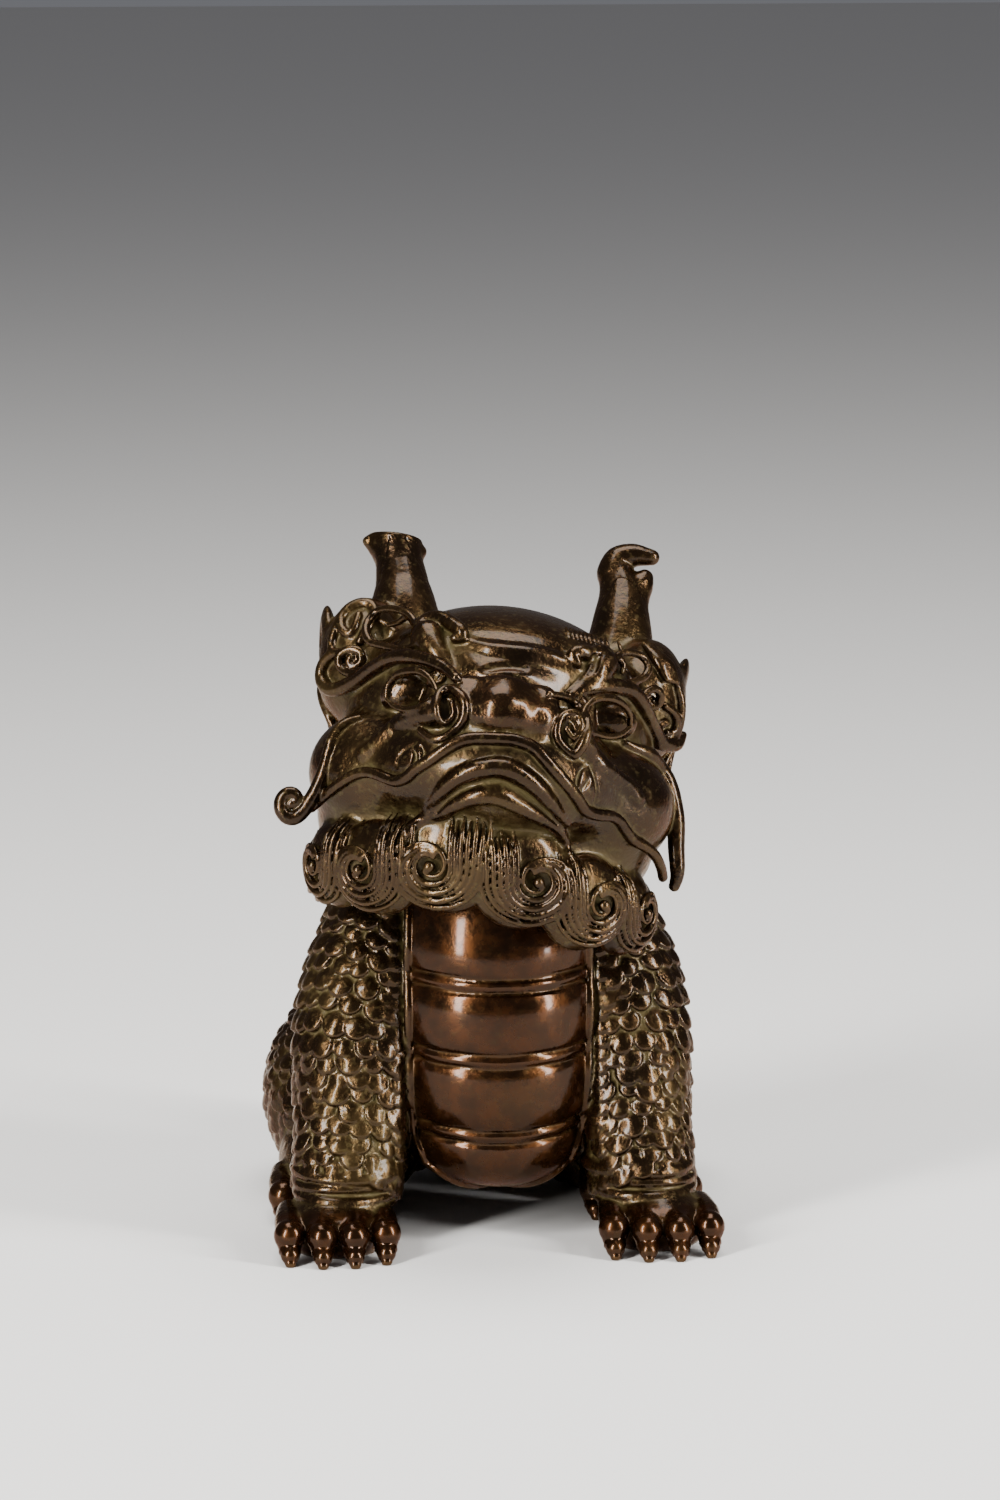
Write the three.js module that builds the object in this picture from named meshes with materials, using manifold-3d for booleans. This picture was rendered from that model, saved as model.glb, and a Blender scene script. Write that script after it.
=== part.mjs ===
// A seated horned beast with a plated belly, a scaled body and a curled beard.
// It is one hollow bronze casting about 99 mm tall that stands on its four feet.
// Millimetres, +Z up. The beast looks along -Y, its soles stand on z = 0.

import * as THREE from "three";
import { mergeVertices } from "three/addons/utils/BufferGeometryUtils.js";
import Module from "manifold-3d";

const wasm = await Module();
wasm.setup();

const SIDES = [-1, 1];
const MERGE_GAP = 1e-4;
const WELD_GAP = 0.01;
const LARGEST_CRUMB = 0.5;
const FULL_TURN = 2 * Math.PI;
const degrees = THREE.MathUtils.degToRad;

// Body, from the chest back to the rump. Scales stand proud of it in staggered rows.
const BELLY_WIDTH = 32;
const BELLY_FRONT = -22;
const BELLY_UNDERSIDE = 8;
const BELLY_TOP = 55;
const SCALE_RISE = 0.8;
const SCALE_HANG = 0.45;

// The plated belly: four plates parted by narrow bands that sag in the middle.
const BAND_HEIGHTS = [37.8, 27.6, 17];
const BAND_WIDTH = 2.2;
const BAND_DEPTH = 0.8;
const BAND_SAG = 3.2;
const BELLY_BULGE = 18;
const BELLY_SIDES = 18;

// Forelegs and paws.
const LEG_SPREAD = 20;
const PAW_SPREAD = 22.8;
const PAW_BREADTH = 7.6;
const TOES = 4;
const TOE_RADIUS = 2.3;
const FOREPAW_TIP = -29.5;
const HINDPAW_TIP = -6.5;

// Head: its own frame looks along -Y with the middle of the skull near its origin.
const HEAD_PLACE = [0.3, -6, 69];
const HEAD_LIFT = 22;
const HEAD_LEAN = 8.4;
const HEAD_TURN = -5.5;
const EYE_SPREAD = 13.2;
const EAR_SPREAD = 25;

// Curls of hair: how far a spiral tightens towards its end, and its rise over the skin.
const CURL_TIGHTENING = 0.7;
const CURL_LIFT = 0.3;
const CURL_RISE = 0.5;
const LOCK_STEPS = 4;

const vector = (p) => new THREE.Vector3(p[0], p[1], p[2]);

// A closed geometry as a solid, with shared corners and without collapsed faces.
function toSolid(geometry, gap = MERGE_GAP) {
  const bare = geometry.clone();
  bare.deleteAttribute("normal");
  bare.deleteAttribute("uv");
  const merged = mergeVertices(bare, gap);
  const kept = [];
  for (let i = 0; i < merged.index.count; i += 3) {
    const [a, b, c] = merged.index.array.slice(i, i + 3);
    if (a !== b && b !== c && c !== a) kept.push(a, b, c);
  }
  return new wasm.Manifold(
    new wasm.Mesh({
      numProp: 3,
      vertProperties: merged.attributes.position.array,
      triVerts: new Uint32Array(kept),
    }),
  );
}

// A closed mesh of one solid.
function toGeometry(solid) {
  const mesh = solid.getMesh();
  const geometry = new THREE.BufferGeometry();
  geometry.setAttribute("position", new THREE.BufferAttribute(mesh.vertProperties, 3));
  geometry.setIndex(new THREE.BufferAttribute(mesh.triVerts, 1));
  return geometry;
}

const placement = (centre, tilt) =>
  new THREE.Matrix4().makeRotationFromEuler(new THREE.Euler(...tilt.map(degrees))).setPosition(...centre);

// The main body alone: pockets shut in between the joined shapes become solid metal, and a
// crumb that a ridge leaves where it dips out of a steep surface is dropped.
function mainBody(solid) {
  const [largest, ...rest] = solid.decompose().sort((a, b) => b.volume() - a.volume());
  if (rest.some((shell) => shell.volume() > LARGEST_CRUMB)) {
    throw new Error("the casting is in several bodies");
  }
  return largest;
}

// A form gathers closed shapes in a frame of its own, and knows its outer surface.
class Form {
  constructor(frame = new THREE.Matrix4()) {
    this.frame = frame;
    this.solids = [];
    this.masses = [];
  }

  add(geometry) {
    this.solids.push(toSolid(geometry.applyMatrix4(this.frame)));
  }

  // An ellipsoid with its poles up and down, tilted in degrees about X, Y and Z.
  ball(centre, radii, { columns = 8, rows = 6, tilt = [0, 0, 0] } = {}) {
    const geometry = new THREE.SphereGeometry(1, columns, rows).rotateX(Math.PI / 2);
    this.add(geometry.scale(...radii).applyMatrix4(placement(centre, tilt)));
  }

  // An ellipsoid that the form's shell is wrapped around.
  mass(centre, radii, tilt = [0, 0, 0]) {
    this.masses.push({ inverse: placement(centre, tilt).invert(), radii: vector(radii) });
  }

  // One skin around all masses, as seen from a place inside every part of it.
  shell(centre, { columns, rows, scaled = false, tilt = [0, 0, 0] }) {
    const geometry = new THREE.SphereGeometry(1, columns, rows).rotateX(Math.PI / 2);
    geometry.applyMatrix4(placement([0, 0, 0], tilt));
    const corners = geometry.attributes.position;
    for (let i = 0; i < corners.count; i++) {
      const direction = new THREE.Vector3().fromBufferAttribute(corners, i).normalize();
      corners.setXYZ(i, ...this.surface(vector(centre), direction));
    }
    geometry.computeVertexNormals();
    if (scaled) layScales(geometry, columns, rows, (column, row) => row * (columns + 1) + column);
    this.add(geometry);
  }

  // A tapering round bar along a smooth curve through the points.
  limb(points, radii, { sides = 4, steps = 8, scaled = false, crest = null } = {}) {
    const curve = new THREE.CatmullRomCurve3(points.map(vector));
    const frames = curve.computeFrenetFrames(steps);
    if (crest) turnCrest(frames, crest);
    const profile = [new THREE.Vector2(0, 0)];
    for (let ring = 0; ring <= steps; ring++) {
      const place = (ring / steps) * (radii.length - 1);
      const low = Math.min(Math.floor(place), radii.length - 2);
      const radius = THREE.MathUtils.lerp(radii[low], radii[low + 1], place - low);
      profile.push(new THREE.Vector2(radius, ring));
    }
    profile.push(new THREE.Vector2(0, steps));
    const geometry = new THREE.LatheGeometry(profile, sides);
    const corners = geometry.attributes.position;
    for (let i = 0; i < corners.count; i++) {
      const ring = Math.round(corners.getY(i));
      const place = curve.getPointAt(ring / steps);
      place.addScaledVector(frames.normals[ring], -corners.getX(i));
      place.addScaledVector(frames.binormals[ring], corners.getZ(i));
      corners.setXYZ(i, place.x, place.y, place.z);
    }
    if (scaled) {
      geometry.computeVertexNormals();
      const cornerAt = (column, row) => column * profile.length + row;
      layScales(geometry, sides, profile.length - 1, cornerAt, { upward: true, bareRows: 4 });
    }
    this.add(geometry);
  }

  // Where a ray from a place inside the main masses comes out of the last of them.
  surface(origin, direction) {
    let reach = 0;
    for (const { inverse, radii } of this.masses) {
      const start = origin.clone().applyMatrix4(inverse).divide(radii);
      const along = direction.clone().transformDirection(inverse);
      const ray = along.divide(radii);
      const a = ray.dot(ray);
      const b = start.dot(ray);
      const inside = b * b - a * (start.dot(start) - 1);
      if (inside > 0) reach = Math.max(reach, (Math.sqrt(inside) - b) / a);
    }
    return origin.clone().addScaledVector(direction, reach);
  }
}

// Turns a bar's frames so that the first edge of its section points along the crest direction.
function turnCrest(frames, crest) {
  frames.tangents.forEach((tangent, i) => {
    frames.normals[i].crossVectors(crest, tangent).normalize();
    frames.binormals[i].crossVectors(tangent, frames.normals[i]);
  });
}

// Overlapping scales on a grid of corners: every second corner stands proud and hangs towards
// the next row, and each face is folded between its two low corners.
function layScales(geometry, columns, rows, cornerAt, { upward = false, bareRows = 1 } = {}) {
  const corners = geometry.attributes.position;
  const normals = geometry.attributes.normal;
  const isHigh = (column, row) => (column + row) % 2 === 0 && row > 0 && row <= rows - bareRows;
  const low = corners.clone();
  const faces = [];
  for (let column = 0; column < columns; column++) {
    for (let row = 0; row < rows; row++) {
      const a = cornerAt(column, row);
      const b = cornerAt(column, row + 1);
      const c = cornerAt(column + 1, row + 1);
      const d = cornerAt(column + 1, row);
      const acrossHigh = isHigh(column, row) || isHigh(column + 1, row + 1);
      const fold = acrossHigh ? [a, b, d, b, c, d] : [a, b, c, a, c, d];
      faces.push(...(upward ? fold.reverse() : fold));
    }
  }
  for (let column = 0; column <= columns; column++) {
    for (let row = 1; row < rows; row++) {
      if (!isHigh(column, row)) continue;
      const i = cornerAt(column, row);
      const seam = cornerAt(column % columns, row);
      const place = new THREE.Vector3().fromBufferAttribute(low, i);
      const below = new THREE.Vector3().fromBufferAttribute(low, cornerAt(column, row + 1));
      place.lerp(below, SCALE_HANG);
      place.addScaledVector(new THREE.Vector3().fromBufferAttribute(normals, seam), SCALE_RISE);
      corners.setXYZ(i, place.x, place.y, place.z);
    }
  }
  geometry.setIndex(faces);
}

// Offsets along a spiral that winds inward, as across, down-positive up and share wound.
function winding(radius, hand, { from = 0, turns = 1.1, squash = 1 } = {}) {
  const places = [];
  for (let i = 0; i <= LOCK_STEPS; i++) {
    const wound = i / LOCK_STEPS;
    const angle = (from + wound * turns) * FULL_TURN;
    const r = radius * (1 - CURL_TIGHTENING * wound);
    places.push([hand * r * Math.cos(angle), -squash * r * Math.sin(angle), wound]);
  }
  return places;
}

// A patch of a form's surface, seen along one direction, on which ornament is laid out.
class Patch {
  constructor(form, centre, bearing = 0, rise = 0) {
    const turn = degrees(bearing);
    const slope = degrees(rise);
    this.form = form;
    this.centre = vector(centre);
    this.out = new THREE.Vector3(
      Math.sin(turn) * Math.cos(slope),
      -Math.cos(turn) * Math.cos(slope),
      Math.sin(slope),
    );
    this.right = new THREE.Vector3(Math.cos(turn), Math.sin(turn), 0);
    this.up = this.right.clone().cross(this.out).negate();
  }

  at(across, up, lift = 0) {
    const origin = this.centre.clone();
    origin.addScaledVector(this.right, across).addScaledVector(this.up, up);
    const place = this.form.surface(origin, this.out);
    return place.addScaledVector(this.out, lift).toArray();
  }

  // A raised three-sided rope through the given places on the patch, its crest outward.
  ridge(places, radii, steps) {
    const points = places.map(([across, up, lift]) => this.at(across, up, lift));
    this.form.limb(points, radii, { sides: 3, steps, crest: this.out });
  }

  // A curl seen end on, which a strand may run into from a root.
  curl(centre, radius, hand, { thickness = 1, root = [], ...spiral } = {}) {
    const places = [...root];
    for (const [across, up, wound] of winding(radius, hand, spiral)) {
      places.push([centre[0] + across, centre[1] + up, CURL_LIFT + CURL_RISE * wound]);
    }
    const points = places.map(([across, up, lift]) => this.at(across, up, lift));
    const radii = [thickness * 0.8, thickness, thickness, thickness * 0.7];
    this.form.limb(points, radii, { sides: 3, steps: places.length, crest: this.out });
  }

  // A lock of hair: it runs down from the root into the outer side of a curl.
  lock([across, up], centre, radius, hand, thickness = 1.4) {
    this.curl(centre, radius, hand, { thickness, root: [[across, up, CURL_LIFT]] });
  }
}

// The belly: an upright barrel whose bands are sunk into it, sagging towards the middle.
function addBelly(body) {
  const height = BELLY_TOP - BELLY_UNDERSIDE;
  const breadthAt = (z) => Math.sqrt(1 - (((z - BELLY_UNDERSIDE) / height) * 1.7 - 0.85) ** 2);
  const heights = [BELLY_UNDERSIDE];
  const sunk = [0];
  for (const band of [...BAND_HEIGHTS].reverse()) {
    heights.push((heights[heights.length - 1] + band) / 2);
    sunk.push(0);
    for (const [edge, depth] of [[-1.3, 0], [-1, BAND_DEPTH], [1, BAND_DEPTH], [1.3, 0]]) {
      heights.push(band + (edge * BAND_WIDTH) / 2);
      sunk.push(depth);
    }
  }
  heights.push(BELLY_TOP - 8, BELLY_TOP);
  sunk.push(0, 0);
  const profile = [new THREE.Vector2(0, BELLY_UNDERSIDE)];
  heights.forEach((z, i) => {
    profile.push(new THREE.Vector2(0.45 + 0.55 * breadthAt(z) - sunk[i] / (BELLY_WIDTH / 2), z));
  });
  profile.push(new THREE.Vector2(0, BELLY_TOP));
  const geometry = new THREE.LatheGeometry(profile, BELLY_SIDES);
  geometry.rotateX(Math.PI / 2).rotateZ(Math.PI / BELLY_SIDES);
  const corners = geometry.attributes.position;
  for (let i = 0; i < corners.count; i++) {
    const front = Math.max(0, -corners.getY(i));
    const sag = BAND_SAG * front * (1 - (corners.getZ(i) - BELLY_UNDERSIDE) / height);
    corners.setXYZ(
      i,
      (corners.getX(i) * BELLY_WIDTH) / 2,
      (corners.getY(i) + 1) * BELLY_BULGE + BELLY_FRONT,
      corners.getZ(i) - sag + 1.4,
    );
  }
  body.add(geometry);
}

// The trunk and haunches in one scaled skin: a back that slopes from the neck to the rump.
function addTrunk(body) {
  addBelly(body);
  body.mass([0, 11, 33], [19.5, 16.5, 26], [38, 0, 0]);
  body.mass([0, 27, 17], [17, 16, 17.5]);
  body.mass([0, 0, 54], [18, 15, 14]);
  for (const side of SIDES) {
    body.mass([side * 17.6, 20.5, 14.5], [13.2, 17, 14.5], [24, -side * 12, 0]);
  }
  body.shell([0, 14, 24], { columns: 26, rows: 16, scaled: true, tilt: [34, 0, 0] });
}

// A paw on the floor: a pad with four long toes, each with a blunt claw under its tip.
function addPaw(body, side, middle, tip, clawed) {
  const heel = tip + 12.5;
  body.ball([side * middle, heel, 3.8], [PAW_BREADTH, 8, 5.4]);
  for (let toe = 0; toe < TOES; toe++) {
    const place = toe - (TOES - 1) / 2;
    const x = side * (middle + place * (PAW_BREADTH * 0.59));
    const y = tip + 4.6 + 0.8 * place * place;
    const tilt = [8, 0, -side * place * 8];
    body.ball([x, y, 3.8], [TOE_RADIUS, 3.9, 2.8], { columns: 6, rows: 4, tilt });
    if (clawed) body.limb([[x, y - 2.6, 2.6], [x, y - 4, -0.6]], [1.5, 0.9], { steps: 1 });
  }
}

// A foreleg: a scaled column from the shoulder to a smooth ankle above the paw.
function addForeleg(body, side) {
  body.limb(
    [
      [side * 7, 3, 55], [side * 12.6, -1.5, 46],
      [side * (LEG_SPREAD - 0.6), -6, 32], [side * LEG_SPREAD, -9, 20],
      [side * (LEG_SPREAD + 0.6), -13, 9], [side * (LEG_SPREAD + 1.2), -15.6, 3],
    ],
    [8, 9.4, 9.2, 8.4, 7.8, 7, 6.6],
    { sides: 12, steps: 12, scaled: true },
  );
  addPaw(body, side, PAW_SPREAD, FOREPAW_TIP, true);
}

// A folded hind leg: the shin under the haunch and a paw beside the forepaw's heel.
function addHindLeg(body, side) {
  body.limb(
    [[side * 21, 26, 5.5], [side * 23, 12, 6], [side * 22.4, 0, 5]],
    [6.4, 6.8, 5.4], { sides: 8, steps: 3 },
  );
  addPaw(body, side, PAW_SPREAD - 0.4, HINDPAW_TIP, false);
}

// A ridge of flames down the spine and a bushy tail that curls up on the rump.
function addSpineAndTail(body) {
  const spine = new Patch(body, [0, 10, 24], 180, 40);
  for (let i = 0; i < 4; i++) {
    body.ball(spine.at(0, 16 - i * 7, 0.2), [1.5, 2.2, 3.8], { columns: 4, rows: 3, tilt: [38, 0, 0] });
  }
  body.limb(
    [[0, 38, 8], [0, 45, 14], [0, 44, 24], [0, 38, 32], [0, 37, 41]],
    [4.4, 5.4, 5.2, 4, 1], { sides: 7, steps: 5 },
  );
  for (const side of SIDES) {
    body.limb(
      [
        [side * 1.5, 44, 8], [side * 8, 43, 17], [side * 10.4, 40.6, 24],
        [side * 7.6, 40.4, 28.4], [side * 4.8, 42, 25.6], [side * 6.6, 42.8, 22],
      ],
      [3, 3.4, 3, 2.6, 2, 1.2], { sides: 5, steps: 8 },
    );
  }
}

// The bare masses of the head: skull, forehead, muzzle, cheeks, jaw and the body of the beard.
function addSkull(head) {
  head.mass([0, -3, 2], [22.4, 21, 18.2]);
  head.mass([0, -14, 8], [15, 12, 9]);
  head.mass([0, -12, -8], [20, 20.6, 10.5]);
  head.mass([0, -6, -14.5], [21.5, 17, 9.5], [14, 0, 0]);
  head.mass([0, 7, -6], [20, 12, 14]);
  head.mass([0, -21, 4], [7, 9, 5]);
  for (const side of SIDES) {
    head.mass([side * 14.6, -11.5, -9], [10.2, 10.5, 8.4]);
    head.mass([side * 20, -1, 9.5], [6, 8, 8.5]);
    head.mass([side * 7.2, -16, -20.4], [6.4, 5.4, 6.4]);
    head.mass([side * 16.4, -12, -20.8], [6, 5.4, 6.4]);
    head.mass([side * 21.6, -4.5, -18.4], [4.2, 5.6, 7]);
  }
  head.shell([0, -6, -3], { columns: 18, rows: 12, tilt: [90, 0, 0] });
}

// A broad nose with spiral nostrils, a bulging eye on each side and a fold of cheek.
function addFeatures(head, face) {
  head.ball([0, -28, -0.6], [6.6, 6.2, 5.4]);
  for (const side of SIDES) {
    head.ball([side * 8, -27, -1.2], [3, 3.4, 3.3], { columns: 6, rows: 4 });
    const nostril = winding(2.9, -side, { from: 0.5 });
    const rim = nostril.map(([x, z, wound]) => [side * 7.9 + x, -30 - CURL_RISE * wound, z - 1.2]);
    head.limb(rim, [0.8, 1, 0.7], { steps: LOCK_STEPS });
    head.ball(face.at(side * EYE_SPREAD, 2, -0.9), [3.1, 3, 3], { columns: 7, rows: 5 });
    face.ridge(
      [[side * 9, -5, 0], [side * 13.6, -6.3, 0.8], [side * 18, -8, 0.4], [side * 21, -10, -0.4]],
      [1, 2, 1.8, 0.8], 3,
    );
    head.ball([side * EAR_SPREAD, 2, 9], [1.6, 5, 7.6], { columns: 6, rows: 4, tilt: [0, side * 10, 0] });
  }
}

// The cloud-scroll brows and the curls over them.
function addBrows(face) {
  const curls = [[15.4, 10, 2.9, 1], [8.4, 10, 2.3, -1], [20.4, 6.4, 2.2, 1]];
  for (const side of SIDES) {
    const at = (x, z, lift) => [side * x, z, lift];
    face.ridge(
      [at(4, 5.2, 0), at(8.5, 5.6, 0.5), at(14, 6.6, 0.6), at(19, 4.2, 0.4), at(21.6, 0.8, 0)],
      [1, 1.9, 2, 1.7, 1.2], 5,
    );
    for (const [x, z, radius, hand] of curls) {
      face.curl([side * x, z], radius, side * hand, { from: 0.3, squash: 0.8 });
    }
  }
}

// The closed mouth: a rope of moustache, then two lips, all arching steeply down.
function addMouth(head, face) {
  for (const side of SIDES) {
    const at = (x, z, lift) => [side * x, z, lift];
    face.ridge(
      [
        at(-0.5, -5.9, 0.4), at(6.2, -7.2, 0.5), at(12, -11, 0.6), at(15, -12.4, 0.5),
        at(19.3, -10.8, 0.5), at(22.6, -13, 0.4), at(24, -15.6, 0.2),
      ],
      [1.3, 1.6, 1.5, 1.4, 1], 8,
    );
    face.ridge(
      [at(-0.5, -9.5, 0.3), at(5, -10.6, 0.4), at(9.4, -13.1, 0.4), at(14, -16.4, 0.2)],
      [1.5, 1.8, 1.4, 0.7], 4,
    );
    face.ridge(
      [at(-0.5, -13.3, 0.3), at(5.5, -14.6, 0.5), at(10, -17.4, 0.4), at(14.5, -20.6, 0)],
      [1.3, 1.7, 1.3, 0.7], 4,
    );
    face.ridge([at(20, -4.6, -0.4), at(22.4, -9, 0.2), at(23.2, -14, 0.1)], [0.9, 1.3, 1], 3);
    head.limb(
      [
        face.at(side * 23, -14.8, 0), [side * 26.6, -5.5, -16],
        [side * 28, -4.4, -13.6], [side * 26.8, -4.6, -11.4],
      ],
      [1.3, 1.4, 1.2, 0.8], { steps: 4 },
    );
  }
}

// The beard: pairs of curled locks under the jaw, parted in the middle.
function addBeard(face, flanks) {
  for (const side of SIDES) {
    face.ridge(
      [[side * 1.6, -15.6, 0], [side * 1.9, -20.5, 0.5], [side * 2, -26, -0.4]],
      [0.8, 1.4, 0.8], 3,
    );
    face.lock([side * 10.2, -17], [side * 7, -22.6], 3.5, side);
    face.lock([side * 13.4, -20], [side * 16.2, -23.2], 3.1, side);
    flanks[side].lock([side * 6, -16], [side * 2, -24.6], 3.2, side);
    flanks[side].lock([side * 13, -15], [side * 10, -21.4], 2.9, side);
  }
}

// The mane: rows of curled locks from the ears round the nape.
function addMane(head) {
  const rows = [
    { up: 7, bearings: [128, 180, 232] },
    { up: -5, bearings: [103, 145, 215, 257] },
  ];
  for (const { up, bearings } of rows) {
    for (const bearing of bearings) {
      const patch = new Patch(head, [0, -2, 0], bearing);
      const hand = bearing <= 180 ? 1 : -1;
      patch.lock([hand * 5.5, up + 10], [0, up], 5, hand, 2.2);
    }
  }
}

// The horns, broad at the root: the left one worn to a flared stump, the right one with a
// tine that hooks outward over a lower spur.
function addHorns(head) {
  const stump = [
    [-14.4, 2.4, 12], [-15.6, 3.4, 18], [-16.3, 4, 22], [-17.2, 4.8, 25], [-18, 5.4, 27.4], [-18.3, 5.8, 28.9],
  ];
  head.limb(stump, [6.6, 5.4, 4.1, 3.6, 3.7, 4.1], { sides: 8, steps: 7 });
  head.limb([[-19.6, 5.4, 26.8], [-22.4, 5.2, 28.2]], [2, 1], { sides: 5, steps: 1 });

  const hooked = [[14.6, 2.4, 12], [15.4, 3.4, 18], [15.2, 4, 22], [14.8, 4.8, 26], [13.6, 5.4, 29.8]];
  head.limb(hooked, [6.4, 5.2, 4.4, 3.6, 2.6], { sides: 8, steps: 6 });
  const tine = [[13.3, 5.4, 29], [13.7, 5.4, 30.9], [15.6, 5, 31.7], [18.6, 4.6, 31.6]];
  head.limb(tine, [2.6, 2, 1.4, 1], { sides: 6, steps: 5 });
  head.limb([[15.6, 4.8, 25.4], [17.3, 4.7, 28.2], [17.9, 4.6, 30]], [2.6, 1.8, 1.1], { sides: 6, steps: 2 });
}

function headFrame() {
  const turn = new THREE.Euler(degrees(-HEAD_LIFT), degrees(HEAD_LEAN), degrees(HEAD_TURN), "ZYX");
  return new THREE.Matrix4().makeRotationFromEuler(turn).setPosition(...HEAD_PLACE);
}

function buildBeast() {
  const body = new Form();
  addTrunk(body);
  for (const side of SIDES) {
    addForeleg(body, side);
    addHindLeg(body, side);
  }
  addSpineAndTail(body);

  const head = new Form(headFrame());
  const face = new Patch(head, [0, -2, 0]);
  const flanks = { "-1": new Patch(head, [0, -4, 0], -52), 1: new Patch(head, [0, -4, 0], 52) };
  addSkull(head);
  addFeatures(head, face);
  addBrows(face);
  addMouth(head, face);
  addBeard(face, flanks);
  addMane(head);
  addHorns(head);

  const ground = new THREE.BoxGeometry(200, 200, 40).translate(0, 0, -20);
  const cast = [...body.solids, ...head.solids].reduce((whole, next) => whole.add(next));
  const figure = mainBody(cast.subtract(toSolid(ground)));
  return toGeometry(mainBody(toSolid(toGeometry(figure), WELD_GAP)));
}

const bronze = new THREE.MeshStandardMaterial({
  name: "patinated_bronze",
  color: 0x4a2c17,
  roughness: 0.36,
  metalness: 1,
});

const figure = new THREE.Mesh(buildBeast(), bronze);
figure.name = "beast_figure";
const box = new THREE.Box3().setFromObject(figure);
const middle = box.getCenter(new THREE.Vector3());
figure.position.set(-middle.x, -middle.y, -box.min.z);

const beast = new THREE.Group();
beast.add(figure);

export default beast;
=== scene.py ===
"""A seated horned beast in cast bronze, modelled as clay: a field of distances on a fine grid."""

import math

import bmesh
import bpy
import numpy as np
import openvdb
from mathutils import Euler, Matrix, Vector


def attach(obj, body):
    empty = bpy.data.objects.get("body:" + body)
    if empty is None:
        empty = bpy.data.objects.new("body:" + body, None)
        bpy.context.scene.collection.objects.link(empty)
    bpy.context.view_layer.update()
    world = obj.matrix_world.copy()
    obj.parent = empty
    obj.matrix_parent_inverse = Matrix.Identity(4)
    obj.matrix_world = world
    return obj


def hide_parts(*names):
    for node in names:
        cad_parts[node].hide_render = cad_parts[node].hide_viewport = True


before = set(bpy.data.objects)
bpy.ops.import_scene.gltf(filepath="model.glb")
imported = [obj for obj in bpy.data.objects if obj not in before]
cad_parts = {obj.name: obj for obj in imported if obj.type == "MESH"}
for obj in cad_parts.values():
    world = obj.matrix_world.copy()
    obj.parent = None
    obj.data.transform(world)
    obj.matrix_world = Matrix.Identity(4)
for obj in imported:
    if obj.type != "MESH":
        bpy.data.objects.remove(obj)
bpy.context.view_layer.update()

# Fineness of the clay, in mm, and the distance that stands for empty space.
VOXEL = 0.23
HEAD_VOXEL = 0.2
FAR = 6.0
# Rays that look for the clay's skin, with places and reach in mm. One from outside goes on by a cautious
# share of the distance it reads, and one from inside by even steps.
RAY_STEPS = 110
RAY_REACH = 74.0
RAY_CAUTION = 0.8
INNER_REACH = 40.0
INNER_STEP = 0.5
PATCH_START = 24
SIGHT_START = 55
# How much deeper each place of a laid path may lie than the last, in mm.
STEEPEST = 0.55
# Limits of a cast piece: corners of the smallest body that is kept, and faces before it is thinned.
SMALLEST_BODY = 400
MOST_FACES = 190000
# Where the casting is cut into a front and a back piece, how far the two overlap, and how deep the back one
# sinks there.
BODY_CUT = 8.0
HEAD_CUT = 2.0
CUT_OVERLAP = 0.3
CUT_SINK = 0.07

# The body's frame and the part's frame differ only by this shift, in mm.
PART_SHIFT = np.array([0.0, -4.25, 0.0])
MM = 0.001
# A whole turn in radians, and the two sides of the beast: the picture's left and right.
TURN = 2 * math.pi
SIDES = (-1, 1)
rng = np.random.default_rng(7)

# The body, with the same measures as the solid.
BELLY_WIDTH = 32
BELLY_FRONT = -22
BELLY_UNDERSIDE = 8
BELLY_TOP = 55
BELLY_BULGE = 18
BAND_HEIGHTS = (37.8, 27.6, 17.0)
BAND_SAG = 3.2
# Across a band: a wide hollow, and in it a cord between two grooves.
HOLLOW_DEPTH = 0.5
HOLLOW_WIDTH = 2.2
CORD_HEIGHT = 0.16
CORD_WIDTH = 0.5
GROOVE_DEPTH = 0.42
GROOVE_WIDTH = 0.26
GROOVE_PLACE = 0.9
PLATE_HALF_WIDTH = 12.6
LEG_SPREAD = 20
PAW_SPREAD = 22.8
HINDPAW_SPREAD = PAW_SPREAD - 0.4
PAW_BREADTH = 7.6
TOES = 4
TOE_RADIUS = 2.35
FOREPAW_TIP = -29.5
HINDPAW_TIP = -6.5

# Scales: tongues with a raised rim, laid in staggered rows. Each one is moved, turned and made larger or
# smaller by a little.
SCALE_HALF_WIDTH = 1.86
SCALE_LENGTH = 2.0
SCALE_REACH = 2.8
SCALE_LIFT = 0.34
SCALE_TIP_LIFT = 0.5
SCALE_PILLOW = 0.46
RIM_HEIGHT = 0.09
RIM_PLACE = 0.84
RIM_WIDTH = 0.12
SCALE_PITCH = 3.2
SCALE_ROW = 2.15
SCALE_SLIDE = 0.2
SCALE_SLIP = 0.35
SCALE_TWIST = 0.34
SCALE_SIZES = (0.8, 1.14)
# No scale is laid where its direction stands nearly upright on the skin.
LEAST_SLOPE = 0.25
# Narrow scales in one column beside the plates: their heights, spacing and outward lean.
FEATHER_TOP = 50
FEATHER_FOOT = 13
FEATHER_STEP = 1.9
FEATHER_LEAN = 0.35
FEATHER_SIZES = (0.72, 0.86)
# How near the bare skin a scale's place has to be.
SKIN_REACH = 0.55

# The head's own frame looks along -Y with the middle of the skull near its origin.
HEAD_PLACE = (0.3, -6.0, 69.0)
HEAD_LIFT = 22
HEAD_LEAN = 8.4
HEAD_TURN = -5.5

# The camera of the photograph, in the part's frame: mm, degrees and pixels of its 1000 x 1500 frame.
CAMERA_TARGET = np.array([1.42, -4.25, 68.0])
CAMERA_DISTANCE = 900.0
CAMERA_TURN = -5
CAMERA_RISE = 10
CAMERA_LENS = 152.0
FILM = 36.0
PICTURE = (1000, 1500)


def smooth_min(a, b, blend):
    if blend <= 0:
        return np.minimum(a, b)
    near = np.maximum(blend - np.abs(a - b), 0) / blend
    return np.minimum(a, b) - near * near * blend * 0.25


def smooth_step(low, high, value):
    t = np.clip((value - low) / (high - low), 0, 1)
    return t * t * (3 - 2 * t)


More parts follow.
